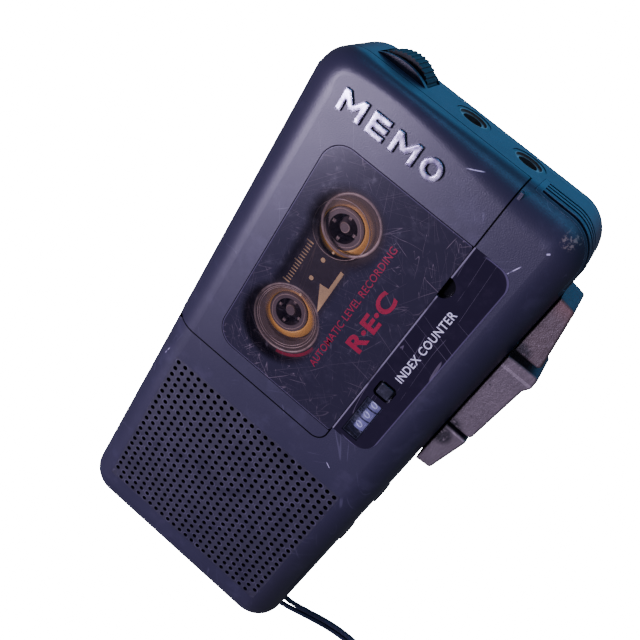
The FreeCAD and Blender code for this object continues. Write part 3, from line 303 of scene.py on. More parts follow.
    def glow(self, colour, amount):
        """A painted glow: light given off by a part that is no lamp."""
        self.give(self.shader.inputs["Emission Color"], colour)
        self.give(self.shader.inputs["Emission Strength"], amount)

    def set(self, colour, rough=0.5, metal=0.0, normal=None, gloss=0.5):
        """The surface's main values. Gives the finished material."""
        values = {
            "Base Color": colour,
            "Roughness": rough,
            "Metallic": metal,
            "Specular IOR Level": gloss,
        }
        for key, value in values.items():
            self.give(self.shader.inputs[key], value)
        if normal:
            self.give(self.shader.inputs["Normal"], normal)
        return self.mat

    def see_through(self, amount, tint):
        """Let what lies behind show, as through smoked plastic."""
        clear = self.add("ShaderNodeBsdfTransparent")
        self.give(clear.inputs["Color"], tint)
        mixed = self.add("ShaderNodeMixShader")
        self.give(mixed.inputs[0], amount)
        self.tree.links.new(self.shader.outputs[0], mixed.inputs[1])
        self.tree.links.new(clear.outputs[0], mixed.inputs[2])
        self.tree.links.new(mixed.outputs[0], self.out.inputs["Surface"])
        return self.mat


# Scratches on the front: across, along, angle, length and width.
CASE_SCRATCHES = [
    (4.6, 56.1, 24, 3.2, 0.12),
    (18.6, 47.6, 68, 3.0, 0.12),
    (21.0, 53.0, 40, 0.7, 0.2),
    (-24.0, -12.0, 78, 2.4, 0.1),
    (15.5, -6.5, -30, 1.6, 0.1),
]


def casing_paint():
    """Dark slate plastic with a satin moulded grain, rubbed and dusty in places, and dark gap lines. Painted
    shade darkens the notch and the right side near the foot, and the rubbed edges also carry a painted
    highlight.
    """
    p = Paint("casing_plastic")
    cloud = p.noise(16, 3)
    colour = p.mix(cloud, srgb(34, 32, 49), srgb(44, 41, 60))
    smear = p.ramp(p.noise(5, 4, 0.6, 3), 0.52, 0.75)
    colour = p.mix(p.times(smear, 0.22), colour, srgb(78, 74, 96))
    dust = p.ramp(p.specks(1.5, 2), 0.09, 0.05)
    rare = p.ramp(p.noise(4, 2, 0.5, 9), 0.58, 0.66)
    colour = p.mix(p.times(p.times(dust, rare), 0.5), colour, srgb(150, 145, 160))
    lines = p.plus(p.hairlines(35, 3.2, 0.006, 0.56, 1), p.hairlines(-50, 4.1, 0.005, 0.58, 5))
    colour = p.mix(p.times(lines, 0.12), colour, srgb(140, 135, 160))
    # Lighter patches on sharp edges: rubbed wear, and also a painted highlight along the edges.
    worn = p.times(p.edges(0.2), p.ramp(p.noise(3, 3, 0.6, 4), 0.5, 0.7))
    colour = p.mix(p.times(worn, 0.35), colour, srgb(128, 120, 140))
    lid = p.maths("ABSOLUTE", p.inside(*LID))
    lid_gap = p.times(p.ramp(lid, 0.2, 0.1), p.ramp(p.z, 17.0, 17.2))
    lens_gap = p.band(p.inside(*LENS), -0.14, 0.06, 0.06)
    lens_gap = p.times(lens_gap, p.times(p.ramp(p.z, 21.0, 21.5), p.ramp(p.x, 11.75, 11.65)))
    gaps = p.maths("MAXIMUM", lid_gap, lens_gap)
    wrap = p.maths("MAXIMUM", p.ramp(p.y, 57.0, 57.6), p.ramp(p.x, -25.0, -25.6))
    wrap = p.times(wrap, p.times(p.ramp(p.x, 11.9, 11.7), p.ramp(p.y, -3.7, -3.4)))
    gaps = p.maths("MAXIMUM", gaps, p.times(p.band(p.z, 16.95, 17.15, 0.06), wrap))
    colour = p.mix(gaps, colour, srgb(7, 7, 12))
    # Painted shade: the front darkens toward its right side near the foot, where less light falls.
    painted_corner_shade = p.times(p.ramp(p.x, 18.0, 25.0), p.ramp(p.y, -12.0, -42.0))
    colour = p.mix(p.times(painted_corner_shade, 0.5), colour, srgb(22, 20, 26))
    marks = 0.0
    for mark in CASE_SCRATCHES:
        marks = p.plus(p.mark(*mark), marks)
    marks = p.times(marks, p.ramp(p.noise(1.2, 3, 0.6, 31), 0.36, 0.5))
    colour = p.mix(marks, colour, srgb(186, 180, 204))
    scuff = p.times(p.ramp(p.ring(22.35, 56.3), 2.0, 0.6), p.ramp(p.noise(0.7, 4, 0.7, 12), 0.5, 0.58))
    colour = p.mix(p.times(scuff, 0.7), colour, srgb(150, 132, 122))
    # Painted shade: the notch by the counter panel is painted near black below the front.
    notch_shade = p.times(p.ramp(p.ring(*NOTCH), 2.15, 2.0), p.ramp(p.z, 21.9, 21.6))
    colour = p.mix(notch_shade, colour, srgb(6, 6, 10))
    grain = p.noise(0.22, 2, 0.6)
    rough = p.blend(p.noise(9, 3, 0.5, 6), 0.34, 0.46)
    gloss = p.blend(p.maths("MAXIMUM", notch_shade, gaps), 0.5, 0.05)
    return p.set(colour, rough, normal=p.raised(grain, 0.03), gloss=gloss)


def grille_paint():
    """The same plastic, with painted shade inside each sound hole and a dark ring round it, and a painted
    highlight round the rims. The two foot corners have no hole.
    """
    p = Paint("grille_plastic")
    colour = p.mix(p.noise(12, 3), srgb(30, 28, 41), srgb(43, 40, 55))
    dust = p.ramp(p.noise(1.1, 4, 0.7, 2), 0.6, 0.8)
    colour = p.mix(p.times(dust, 0.3), colour, srgb(104, 98, 110))
    hole = p.from_hole()
    no_hole = p.times(p.ramp(p.y, -48.0, -48.2), p.ramp(p.maths("ABSOLUTE", p.x), 19.4, 19.6))
    # Painted shade: each hole's bore and a ring round its mouth are painted near black.
    painted_hole_shade = p.times(p.ramp(hole, 0.54, 0.46), p.flip(no_hole))
    # A painted highlight: a lighter broken ring round each hole's rim.
    hole_rim_highlight = p.times(p.band(hole, 0.6, 0.72, 0.1), p.ramp(p.noise(1.6, 3, 0.6, 5), 0.45, 0.65))
    colour = p.mix(p.times(hole_rim_highlight, 0.35), colour, srgb(96, 90, 112))
    colour = p.mix(p.times(painted_hole_shade, 0.85), colour, srgb(12, 12, 20))
    worn = p.ramp(p.noise(7, 3, 0.6, 8), 0.5, 0.7)
    rough = p.blend(worn, 0.52, 0.38)
    return p.set(colour, rough, normal=p.raised(p.noise(0.2, 2), 0.03), gloss=p.blend(painted_hole_shade, 0.5, 0.1))


def lens_paint():
    """The smoked window: clear over the cassette and dark over the print, scratched."""
    p = Paint("smoked_window")
    scratches = p.hairlines(20, 1.5, 0.0045, 0.47, 11)
    for angle, size, width, keep, seed in (
        (-25, 1.7, 0.004, 0.5, 12),
        (62, 1.4, 0.004, 0.5, 13),
        (-70, 2.0, 0.0035, 0.48, 14),
        (95, 1.6, 0.004, 0.52, 15),
        (140, 2.2, 0.0035, 0.46, 16),
        (40, 1.2, 0.004, 0.5, 17),
    ):
        scratches = p.plus(scratches, p.hairlines(angle, size, width, keep, seed))
    scratches = p.plus(p.times(scratches, 0.7), p.times(p.arcs(16, (-2, 22), 17), 0.9))
    corner = p.ramp(p.ring(8, 42), 15, 3)
    foot = p.ramp(p.ring(-6, 4), 13, 2)
    amount = p.plus(0.13, p.times(p.plus(corner, foot), 0.2))
    scratches = p.maths("MINIMUM", p.times(scratches, amount), 0.9)
    haze = p.ramp(p.noise(2.4, 4, 0.7, 21), 0.5, 0.85)
    colour = p.mix(p.times(haze, 0.5), srgb(35, 32, 46), srgb(58, 52, 66))
    colour = p.mix(scratches, colour, srgb(164, 146, 152))
    # A painted highlight: a thin lighter line just inside the window's outline.
    colour = p.mix(p.times(p.ramp(p.inside(*LENS), 0.22, 0.1), 0.35), colour, srgb(110, 102, 128))
    p.set(colour, p.blend(haze, 0.2, 0.34))
    hubs = p.maths("MAXIMUM", p.ramp(p.ring(*UPPER_RING), 8.2, 5.8), p.ramp(p.ring(*LOWER_RING), 8.8, 7.0))
    between = p.times(p.ramp(p.inside(-14.2, -1.4, 9.0, 37.0, 3.0), 0.0, 2.0), 0.85)
    clear = p.times(p.maths("MAXIMUM", hubs, between), p.flip(scratches))
    clear = p.times(clear, p.blend(haze, 0.9, 0.72))
    return p.see_through(clear, srgb(252, 246, 240))


def gloss_paint():
    """The black inlay round the counter, with fine swirls and dust, and painted highlights along its left edge
    and its far rim.
    """
    p = Paint("gloss_black")
    lines = p.plus(p.hairlines(5, 2.4, 0.006, 0.52, 2), p.hairlines(75, 2.9, 0.005, 0.54, 3))
    haze = p.ramp(p.noise(3, 4, 0.65, 4), 0.45, 0.8)
    colour = p.mix(p.times(haze, 0.3), srgb(26, 20, 36), srgb(46, 38, 56))
    colour = p.mix(p.times(lines, 0.22), colour, srgb(160, 150, 165))
    inside = p.inside(*PANEL)
    # A painted highlight along the panel's left edge, broken up.
    left = p.times(p.ramp(p.x, 11.98, 11.86), p.ramp(p.noise(9, 3, 0.6, 5), 0.35, 0.5))
    # A painted highlight along the rim of the panel's right-hand part.
    far = p.times(p.ramp(inside, 0.3, 0.12), p.ramp(p.x, 13.5, 15))
    colour = p.mix(p.times(left, 0.4), colour, srgb(180, 174, 190))
    colour = p.mix(p.times(far, 0.4), colour, srgb(120, 112, 140))
    return p.set(colour, p.blend(haze, 0.1, 0.22))


def clear_paint():
    """The clear pane over the counter digits, with a black border."""
    p = Paint("clear_pane")
    haze = p.ramp(p.noise(1.4, 4, 0.7, 4), 0.45, 0.8)
    lines = p.hairlines(80, 1.6, 0.012, 0.45, 6)
    frame_band = p.ramp(p.inside(13.1, 16.7, 2.4, 11.9, 0.4), 0.3, 0.2)
    colour = p.mix(haze, srgb(90, 92, 110), srgb(150, 150, 165))
    p.set(p.mix(frame_band, colour, srgb(16, 16, 26)), p.blend(haze, 0.1, 0.3))
    veil = p.plus(p.times(haze, 0.2), p.times(lines, 0.3))
    clear = p.times(p.flip(p.plus(0.06, veil)), p.flip(frame_band))
    return p.see_through(clear, srgb(244, 246, 252))


def chipped(p, base, bare, keep, seed):
    """Paint worn through to bare plastic in ragged patches and along edges."""
    patch = p.ramp(p.noise(2.4, 5, 0.72, seed), keep, keep + 0.035)
    rim = p.times(p.edges(0.5, 0.01, 0.12), p.ramp(p.noise(1.5, 4, 0.7, seed + 3), 0.46, 0.56))
    return p.mix(p.maths("MAXIMUM", patch, rim), base, bare)


def key_paint(name, low, high, warm, bare_at, ridge, seed):
    """Taupe lacquer on a key, greasy and chipped, with painted highlights on its edges and its ridge, and
    painted shade in dark blue on its outer walls.

    warm and ridge are spans along the machine, and bare_at is the middle of a worn patch.
    """
    p = Paint(name)
    streaks = p.noise(0.6, 4, 0.7, seed, p.turned(0, (2.6, 0.5, 2.6)))
    base = p.mix(p.noise(3.2, 4, 0.6, seed), srgb(*low), srgb(*high))
    base = p.mix(p.times(p.ramp(streaks, 0.45, 0.75), 0.45), base, srgb(118, 107, 108))
    base = p.mix(p.times(p.ramp(p.y, warm[0], warm[1]), 0.6), base, srgb(104, 70, 64))
    # A painted highlight: a lighter band across the key at its ridge.
    ridge_highlight = p.band(p.y, ridge[0], ridge[1], 0.12)
    base = p.mix(p.times(ridge_highlight, 0.3), base, srgb(164, 152, 156))
    # A painted highlight along the key's sharp edges.
    edge_highlight = p.edges(0.22, 0.02, 0.14)
    base = p.mix(p.times(edge_highlight, 0.6), base, srgb(160, 150, 156))
    base = chipped(p, base, srgb(44, 38, 42), 0.64, seed)
    hole = p.times(p.ramp(p.ring(*bare_at), 2.6, 1.2), p.ramp(p.noise(0.9, 5, 0.7, seed + 5), 0.38, 0.46))
    base = p.mix(hole, base, srgb(34, 30, 34))
    # Painted shade: the outer walls, told by their normals, take a dark blue in place of the lacquer.
    flat = p.add("ShaderNodeNewGeometry")
    parts = p.add("ShaderNodeSeparateXYZ")
    p.give(parts.inputs[0], flat.outputs["Normal"])
    top = p.ramp(parts.outputs[2], 0.25, 0.6)
    side = chipped(p, srgb(38, 40, 56), srgb(92, 84, 92), 0.66, seed + 9)
    colour = p.mix(top, side, base)
    grain = p.plus(p.noise(0.18, 3, 0.6), p.times(p.noise(0.7, 4, 0.7, seed), 1.6))
    rough = p.blend(p.noise(1.6, 4, 0.6, seed + 2), 0.34, 0.52)
    return p.set(colour, rough, p.times(top, 0.3), p.raised(grain, 0.07))


def dark_paint():
    """Black moulded plastic with dusty recesses."""
    p = Paint("dark_plastic")
    dust = p.ramp(p.noise(1.3, 5, 0.7, 3), 0.52, 0.8)
    colour = p.mix(p.times(dust, 0.5), srgb(26, 27, 38), srgb(76, 76, 92))
    worn = p.times(p.edges(0.2), p.ramp(p.noise(1.2, 3), 0.42, 0.6))
    colour = p.mix(p.times(worn, 0.6), colour, srgb(120, 120, 140))
    return p.set(colour, p.blend(dust, 0.34, 0.55), normal=p.raised(p.noise(0.15, 2), 0.02))


def jack_paint():
    """A jack: dark ring outside, dull plated dish round the bore."""
    p = Paint("jack_rings")
    both = p.maths("MINIMUM", p.tube(-1.9, 10.6), p.tube(9.4, 10.6))
    dish = p.times(p.ramp(both, 2.75, 2.6), p.ramp(both, 1.75, 1.82))
    plate = p.mix(p.noise(0.7, 4, 0.6, 2), srgb(120, 104, 98), srgb(178, 164, 156))
    colour = p.mix(dish, srgb(22, 24, 34), plate)
    colour = p.mix(p.ramp(p.noise(0.9, 5, 0.7, 8), 0.6, 0.7), colour, srgb(70, 56, 50))
    return p.set(colour, p.blend(p.noise(1.0, 3), 0.25, 0.5), p.times(dish, 0.85))


def cover_paint():
    """The grooved cover of the microphone, with a painted highlight along its ribs."""
    p = Paint("microphone_ribs")
    # A painted highlight: lighter, broken lines on the ribs' sharp edges.
    worn = p.times(p.edges(0.16, 0.01, 0.15), p.ramp(p.noise(2.5, 3, 0.6, 3), 0.25, 0.5))
    colour = p.mix(p.noise(3, 4, 0.6), srgb(24, 34, 48), srgb(44, 58, 76))
    colour = p.mix(p.times(worn, 0.7), colour, srgb(132, 152, 176))
    return p.set(colour, 0.38, normal=p.raised(p.noise(0.2, 2), 0.02))


def letter_paint():
    """Plated letters, mottled, with rounded edges and painted shade along them."""
    p = Paint("plated_letters")
    pits = p.ramp(p.noise(0.5, 5, 0.75, 2), 0.6, 0.7)
    colour = p.mix(p.ramp(p.noise(1.5, 3, 0.6), 0.35, 0.65), srgb(132, 124, 150), srgb(226, 220, 240))
    colour = p.mix(p.times(pits, 0.4), colour, srgb(84, 78, 92))
    # Painted shade: the letters' edges are darkened.
    colour = p.mix(p.times(p.edges(0.3, 0.01, 0.16), 0.75), colour, srgb(96, 90, 108))
    bevel = p.add("ShaderNodeBevel", samples=6)
    bevel.inputs["Radius"].default_value = 0.5 * MM
    bump = p.add("ShaderNodeBump")
    bump.inputs["Distance"].default_value = 0.008 * MM
    p.give(bump.inputs["Height"], p.noise(0.7, 2, 0.5))
    p.give(bump.inputs["Normal"], bevel.outputs[0])
    return p.set(colour, p.blend(p.noise(0.8, 4), 0.16, 0.36), 0.8, bump.outputs[0])


def metal_paint(name, low, high):
    """Bare metal, brushed along the machine, with stains."""
    p = Paint(name)
    brushed = p.noise(0.6, 3, 0.6, 2, p.turned(0, (4.0, 0.3, 4.0)))
    colour = p.mix(brushed, srgb(*low), srgb(*high))
    stain = p.ramp(p.noise(2.2, 5, 0.7, 5), 0.6, 0.75)
    colour = p.mix(p.times(stain, 0.5), colour, srgb(72, 62, 54))
    return p.set(colour, p.blend(brushed, 0.28, 0.48), 1.0, p.raised(brushed, 0.01))


def plain_paint(name, low, high, size=2.0, rough=(0.4, 0.6), depth=0.02):
    """Moulded plastic or rubber with a mottled surface."""
    p = Paint(name)
    mottle = p.noise(size, 5, 0.6, 3)
    colour = p.mix(mottle, srgb(*low), srgb(*high))
    speck = p.ramp(p.specks(0.9, 4), 0.1, 0.06)
    colour = p.mix(p.times(speck, 0.25), colour, srgb(130, 124, 130))
    return p.set(colour, p.blend(mottle, *rough), normal=p.raised(p.noise(0.25, 3), depth))


def shell_paint():
    """The cassette's smoky shell, clear where the tape hubs show."""
    p = Paint("cassette_shell")
    haze = p.noise(3, 4, 0.6, 2)
    colour = p.mix(haze, srgb(38, 36, 46), srgb(54, 50, 60))
    lines = p.hairlines(12, 1.7, 0.01, 0.5, 4)
    colour = p.mix(p.times(lines, 0.2), colour, srgb(150, 136, 126))
    in_upper, in_lower = p.ramp(p.ring(*UPPER_RING), 5.8, 5.7), p.ramp(p.ring(*LOWER_RING), LOWER_RADIUS, 6.8)
    veil = p.maths("MAXIMUM", in_upper, in_lower)
    p.set(p.mix(p.times(veil, 0.6), colour, srgb(120, 112, 112)), p.blend(haze, 0.25, 0.45), gloss=0.3)
    near = [p.ramp(p.ring(x + 0.7, y - 0.2), 5.2, 4.7) for x, y in HUBS.values()]
    above = p.ramp(p.z, 17.9, 18.0)
    smoke = p.ramp(p.from_hub(), 2.95, 2.6)
    window = p.maths("MAXIMUM", p.times(veil, 0.5), p.times(p.maths("MAXIMUM", *near), 0.92))
    window = p.times(window, p.flip(p.times(smoke, 0.62)))
    clear = p.times(window, above)
    return p.see_through(clear, srgb(250, 245, 238))


def hub_paint():
    """The wound hubs: dark in the middle with a faint spiral groove."""
    p = Paint("tape_hub")
    groove = p.maths("SINE", p.plus(p.times(p.from_hub(), 5.2), p.times(p.noise(4, 1), 5.0)))
    lines = p.ramp(groove, 0.75, 0.98)
    colour = p.mix(p.noise(2.5, 3), srgb(70, 64, 72), srgb(92, 85, 92))
    colour = p.mix(p.times(lines, 0.4), colour, srgb(190, 176, 170))
    return p.set(colour, 0.35, normal=p.raised(lines, 0.05))


def cream_paint():
    """The cream rim of a tape hub, browned by age, with a faint painted glow."""
    p = Paint("cream_rim")
    colour = p.mix(p.noise(2.0, 4, 0.6, 5), srgb(236, 190, 100), srgb(250, 220, 146))
    stain = p.ramp(p.noise(0.9, 4, 0.7, 6), 0.58, 0.75)
    colour = p.mix(p.times(stain, 0.4), colour, srgb(176, 128, 66))
    # A painted glow: the rim gives off a little cream light of its own.
    p.glow(srgb(214, 170, 96), 0.11)
    return p.set(colour, p.blend(p.noise(1.4, 3), 0.3, 0.5))


def ring_paint():
    """The moulded rings of the shell, catching grey light."""
    p = Paint("moulded_rings")
    colour = p.mix(p.noise(2.2, 4, 0.6, 5), srgb(150, 142, 148), srgb(196, 186, 184))
    p.set(colour, p.blend(p.noise(1.1, 3), 0.2, 0.4))
    return p.see_through(p.ramp(p.noise(3.2, 3, 0.6, 8), 0.3, 0.9), srgb(235, 228, 224))


def print_paint(name, low, high, wear=0.62):
    """Printing ink, thin in places and scratched through. A lower wear is more worn."""
    p = Paint(name)
    colour = p.mix(p.noise(1.2, 4, 0.6, 3), srgb(*low), srgb(*high))
    gone = p.ramp(p.noise(0.45, 5, 0.75, 6), wear, wear + 0.08)
    p.set(colour, p.blend(gone, 0.35, 0.6), gloss=0.3)
    return p.see_through(p.times(gone, 0.55), (1, 1, 1, 1))


def digit_paint():
    """The counter's drums, satin grey."""
    return plain_paint("counter_drum", (126, 124, 154), (154, 150, 178), 1.5, (0.4, 0.6))


def board_paint():
    """Brown laminate with solder spots."""
    p = Paint("laminate")
    colour = p.mix(p.noise(2, 4, 0.6), srgb(104, 76, 34), srgb(140, 106, 52))
    solder = p.ramp(p.specks(2.2, 3), 0.2, 0.16)
    colour = p.mix(solder, colour, srgb(176, 176, 180))
    return p.set(colour, 0.4, p.times(solder, 0.9), p.raised(p.flip(p.specks(2.2, 3)), 0.1))


def cord_paint():
    """Braided dark navy cord."""
    p = Paint("braided_cord")
    wave = p.add("ShaderNodeTexWave", bands_direction="DIAGONAL")
    p.give(wave.inputs["Vector"], p.place)
    wave.inputs["Scale"].default_value = 0.9
    wave.inputs["Distortion"].default_value = 1.2
    braid = p.plus(p.times(wave.outputs["Fac"], 0.6), p.times(p.noise(0.18, 3), 0.6))
    colour = p.mix(braid, srgb(10, 14, 30), srgb(30, 40, 66))
    return p.set(colour, p.blend(braid, 0.75, 0.55), normal=p.raised(braid, 0.12))


# ------------------------------------------------------------ building pieces


def piece(name, mesh, mat, body):
    """A finished mesh as a piece of the machine that moves with a body."""
    obj = link(bpy.data.objects.new(name, mesh))
    mesh.materials.append(mat)
    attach(obj, body)
    return obj


def finished(bm, name):
    """The mesh of a bmesh, which is freed."""
    mesh = bpy.data.meshes.new(name)
    bm.to_mesh(mesh)
    bm.free()
    return mesh


def closed_loops(bm, loops):
    """Smooth faces between each closed loop of points and the next, and from the last to the first."""
    verts = [[bm.verts.new(at) for at in loop] for loop in loops]
    for i, one in enumerate(verts):
        two = verts[(i + 1) % len(verts)]
        for j in range(len(one)):
            k = (j + 1) % len(one)
            bm.faces.new((one[j], two[j], two[k], one[k])).smooth = True
    bmesh.ops.recalc_face_normals(bm, faces=bm.faces)


def lathe(name, profile, centre):
    """A closed ring from (radius, height) corners round an upright axis, in millimetres."""
    bm = bmesh.new()
    steps = 96
    loops = []
    for i in range(steps):
        turn = 2 * math.pi * i / steps
        c, s = math.cos(turn), math.sin(turn)
        loops.append([Vector((centre[0] + r * c, centre[1] + r * s, up)) * MM for r, up in profile])
    closed_loops(bm, loops)
    return finished(bm, name)


def raised_outline(name, corners, under, top):
    """A thin flat solid from its corners, in millimetres."""
    bm = bmesh.new()
    face = bm.faces.new([bm.verts.new((x * MM, y * MM, under * MM)) for x, y in corners])
    extruded = bmesh.ops.extrude_face_region(bm, geom=[face])
    moved = [v for v in extruded["geom"] if isinstance(v, bmesh.types.BMVert)]
    bmesh.ops.translate(bm, verts=moved, vec=(0, 0, (top - under) * MM))
    bmesh.ops.recalc_face_normals(bm, faces=bm.faces)
    return finished(bm, name)


def arc(at, radius, first, step, count):
    """Points round a place, at angles in degrees."""
    turns = [math.radians(first + step * i) for i in range(count)]
    return [(at[0] + radius * math.cos(t), at[1] + radius * math.sin(t)) for t in turns]


def merged(name, meshes):
    """Several meshes as one."""
    bm = bmesh.new()
    for mesh in meshes:
        bm.from_mesh(mesh)
        bpy.data.meshes.remove(mesh)
    return finished(bm, name)


def text_mesh(words, bold=0.0, spacing=1.0):
    """Letters as a thin solid mesh, one unit high and starting at the origin."""
    data = bpy.data.curves.new("letters", "FONT")
    data.body = words
    data.offset = bold
    data.space_character = spacing
    data.extrude = 0.01
    data.resolution_u = 4
    obj = link(bpy.data.objects.new("letters", data))
    bpy.context.view_layer.update()
    mesh = bpy.data.meshes.new_from_object(obj)
    bpy.data.objects.remove(obj)
    bpy.data.curves.remove(data)
    low = Vector(map(min, zip(*[v.co for v in mesh.vertices])))
    high = Vector(map(max, zip(*[v.co for v in mesh.vertices])))
    mesh.transform(Matrix.Translation((-low.x, -low.y, 0)))
    mesh.transform(Matrix.Diagonal((1 / (high.x - low.x), 1 / (high.y - low.y), 1, 1)))
    mesh.materials.clear()
    return mesh


def lay_text(words, foot, start, end, high, up, **style):
    """Words along +Y from start to end, standing up to -X from their foot line."""
    mesh = text_mesh(words, **style)
    for v in mesh.vertices:
        x, y, z = v.co
        v.co = Vector((foot - y * high, start + x * (end - start), up + z)) * MM
    mesh.update()
    return mesh


# ------------------------------------------------------------ wrist strap

CORD_DIA = 1.2
# The coil's middle, the height of its two layers, the radius of its outer ring and the points in a turn.
COIL = (53.0, -72.1)
COIL_LOW = 0.62
COIL_HIGH = 1.8
RING_OUT = 7.75
PER_TURN = 16
# The radius at which the cord turns back inside the coil.
LOOP = 2.5
# The strands between the strap bar and the coil.
STRAND_OUT = [
    (21.95, -55.35, 11.0),
    (22.9, -53.8, 11.0),
    (25.6, -54.9, 11.0),
    (28.2, -56.0, 10.4),
    (31.2, -57.0, 8.8),
    (34.4, -58.7, 6.4),
    (38.5, -60.1, 3.9),
    (43.4, -61.3, 1.9),
    (48.6, -62.3, 0.8),
    (52.0, -63.9, 0.7),
]
STRAND_BACK = [
    (51.2, -64.2, 1.8),
    (47.0, -63.6, 1.1),
    (41.3, -62.5, 2.8),
    (36.9, -60.9, 5.3),
    (32.8, -59.3, 7.9),
    (29.2, -58.6, 9.7),
    (26.1, -58.3, 10.6),
    (23.1, -58.4, 11.0),
    (21.7, -56.8, 11.0),
    (21.95, -55.35, 11.0),
]


def winding(start, steps, up):
    """Rings side by side, from the outer one in, each stepping in over its last quarter turn."""
    points = []
    for i in range(steps + 1):
        rings, part = divmod(i / PER_TURN, 1)
        late = max(0.0, part - 0.75) / 0.25
        radius = RING_OUT - CORD_DIA * (rings + late * late * (3 - 2 * late))
        angle = math.radians(start - 360 * i / PER_TURN)
        points.append((COIL[0] + radius * math.cos(angle), COIL[1] + radius * math.sin(angle), up))
    return points


def turn_back():
    """The cord's middle, which turns round inside the coil and climbs on its rings."""
    points = []
    for middle, first, step, count, low, high in (
        ((-2.76, 0.69), 130, -34.5, 6, COIL_LOW, 1.1),
        ((0.92, -2.69), 170, 30.0, 4, 1.3, COIL_HIGH),
    ):
        at = (COIL[0] + middle[0], COIL[1] + middle[1])
        for i, (x, y) in enumerate(arc(at, LOOP, first, step, count)):
            points.append((x, y, low + (high - low) * i / (count - 1)))
    return points


def add_strap():
    """One cord: out from the bar, in through the lower layer, out through the upper one, back to the bar."""
    points = list(STRAND_OUT)
    points += winding(start=76, steps=44, up=COIL_LOW)
    points += turn_back()
    points += reversed(winding(start=86, steps=39, up=COIL_HIGH))
    points += STRAND_BACK
    data = bpy.data.curves.new("wrist_strap", "CURVE")
    data.dimensions = "3D"
    spline = data.splines.new("NURBS")
    spline.points.add(len(points) - 1)
    for at, (x, y, z) in zip(spline.points, points):
        at.co = (x * MM, y * MM, z * MM, 1)
    spline.order_u = 3
    spline.use_endpoint_u = True
    spline.resolution_u = 6
    data.bevel_depth = CORD_DIA / 2 * MM
    data.bevel_resolution = 5
    data.materials.append(cord_paint())
    obj = link(bpy.data.objects.new("wrist_strap", data))
    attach(obj, "casing")
    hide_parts("wrist_strap_cord", "wrist_strap_coil")
    return obj


def add_tie():
    """A small rubber band that holds the coil's turns together, squarish in section."""
    place = math.radians(215)
    out = Vector((math.cos(place), math.sin(place), 0))
    along = Vector((-out.y, out.x, 0))
    middle, half_wide, half_high = RING_OUT - CORD_DIA, 2.0, 1.26
    loops = []
    steps = 48
    for i in range(steps):
        t = 2 * math.pi * i / steps
        c, s = math.cos(t), math.sin(t)
        square = (abs(c) ** 6 + abs(s) ** 6) ** (-1 / 6)
        loop = []
        for grow, shift in ((0.0, -0.7), (0.0, 0.7), (-0.18, 0.55), (-0.18, -0.55)):
            r = middle + (half_wide + grow) * c * square
            z = 1.3 + (half_high + grow) * s * square
            loop.append((Vector((*COIL, z)) + out * r + along * shift) * MM)
        loops.append(loop)
    bm = bmesh.new()
    closed_loops(bm, loops)
    mesh = finished(bm, "strap_tie")
    mat = plain_paint("tie_rubber", (30, 30, 40), (52, 50, 60), 1.0, (0.5, 0.7))
    return piece("strap_tie", mesh, mat, "casing")


strap = add_strap()
tie = add_tie()

# ------------------------------------------------------------ materials of the CAD nodes


def dress():
    """Give every node its material."""
    casing = casing_paint()
    steel = metal_paint("steel", (150, 150, 156), (196, 196, 204))
    brass = metal_paint("brass", (170, 134, 70), (208, 172, 100))
    dark = dark_paint()
    jacks = jack_paint()
    hub = hub_paint()
    drum = digit_paint()
    rubber = plain_paint("rubber", (26, 26, 30), (44, 44, 48), 1.2, (0.6, 0.8))
    white = plain_paint("white_plastic", (180, 176, 170), (206, 202, 196))
    looks = {
        "front_cover": casing,
        "rear_cover": casing,
        "battery_door": casing,
        "cassette_lid": casing,
        "speaker_grille": grille_paint(),
        "lid_lens": lens_paint(),
        "counter_panel": gloss_paint(),
        "counter_window": clear_paint(),
        "counter_frame": plain_paint("counter_frame", (30, 30, 42), (50, 50, 64)),
        "front_letters": letter_paint(),
        "record_key": key_paint("record_key", (68, 56, 56), (90, 77, 76), (43, 47), (28, 35), (33.9, 34.0), 1),
        "play_key": key_paint("play_key", (76, 68, 71), (102, 92, 94), (70, 80), (28, 15), (30.9, 31.4), 2),
        "stop_key": key_paint("stop_key", (76, 69, 71), (101, 92, 94), (70, 80), (27.8, 12.4), (14.1, 14.4), 3),
        "microphone_cover": cover_paint(),
        "earphone_jack": jacks,
        "microphone_jack": jacks,
        "cassette_shell": shell_paint(),
        "supply_tape_hub": hub,
        "take_up_tape_hub": hub,
        "supply_spindle": hub,
        "take_up_spindle": hub,
        "drive_belt": rubber,
        "idler_wheel": rubber,
        "pinch_roller": rubber,
        "circuit_board": board_paint(),
        "speaker": plain_paint("speaker_paper", (22, 22, 26), (40, 38, 40), 1.0, (0.7, 0.9), 0.06),
        "battery_cells": plain_paint("cell_wrap", (40, 52, 70), (58, 72, 92), 6.0, (0.3, 0.45)),
        "flywheel": brass,
        "motor_pulley": brass,
        "volume_wheel": plain_paint("wheel_plastic", (5, 6, 10), (14, 15, 22), 1.5, (0.5, 0.7)),
    }
    for wheel in ("units", "tens", "hundreds"):
        looks["counter_wheel_" + wheel] = drum
    by_slot = {"steel": steel, "brass": brass, "rubber": rubber, "white_plastic": white}
    for part in frame["record"]["subparts"]:
        name = part["node"]
        mat = looks.get(name) or by_slot.get(part["material_slot"], dark)
        mesh = frame["nodes"][name].data
        mesh.materials.clear()
        mesh.materials.append(mat)
        for face in mesh.polygons:
            face.material_index = 0


dress()

# ------------------------------------------------------------ cassette under the window


def add_rims():
    """The cream rim round each hub, sloping inwards, which turns with its reel."""
    mat = cream_paint()
    inner = [(3.95, 17.35), (3.95, 18.3), (4.15, 18.45)]
    outer = [(4.35, 18.4), (5.3, 18.0), (5.4, 17.85), (5.4, 17.35)]
    profile = inner + outer
    for body, at in HUBS.items():
        mesh = lathe(body + "_rim", profile, at)
        piece(body + "_rim", mesh, mat, body)


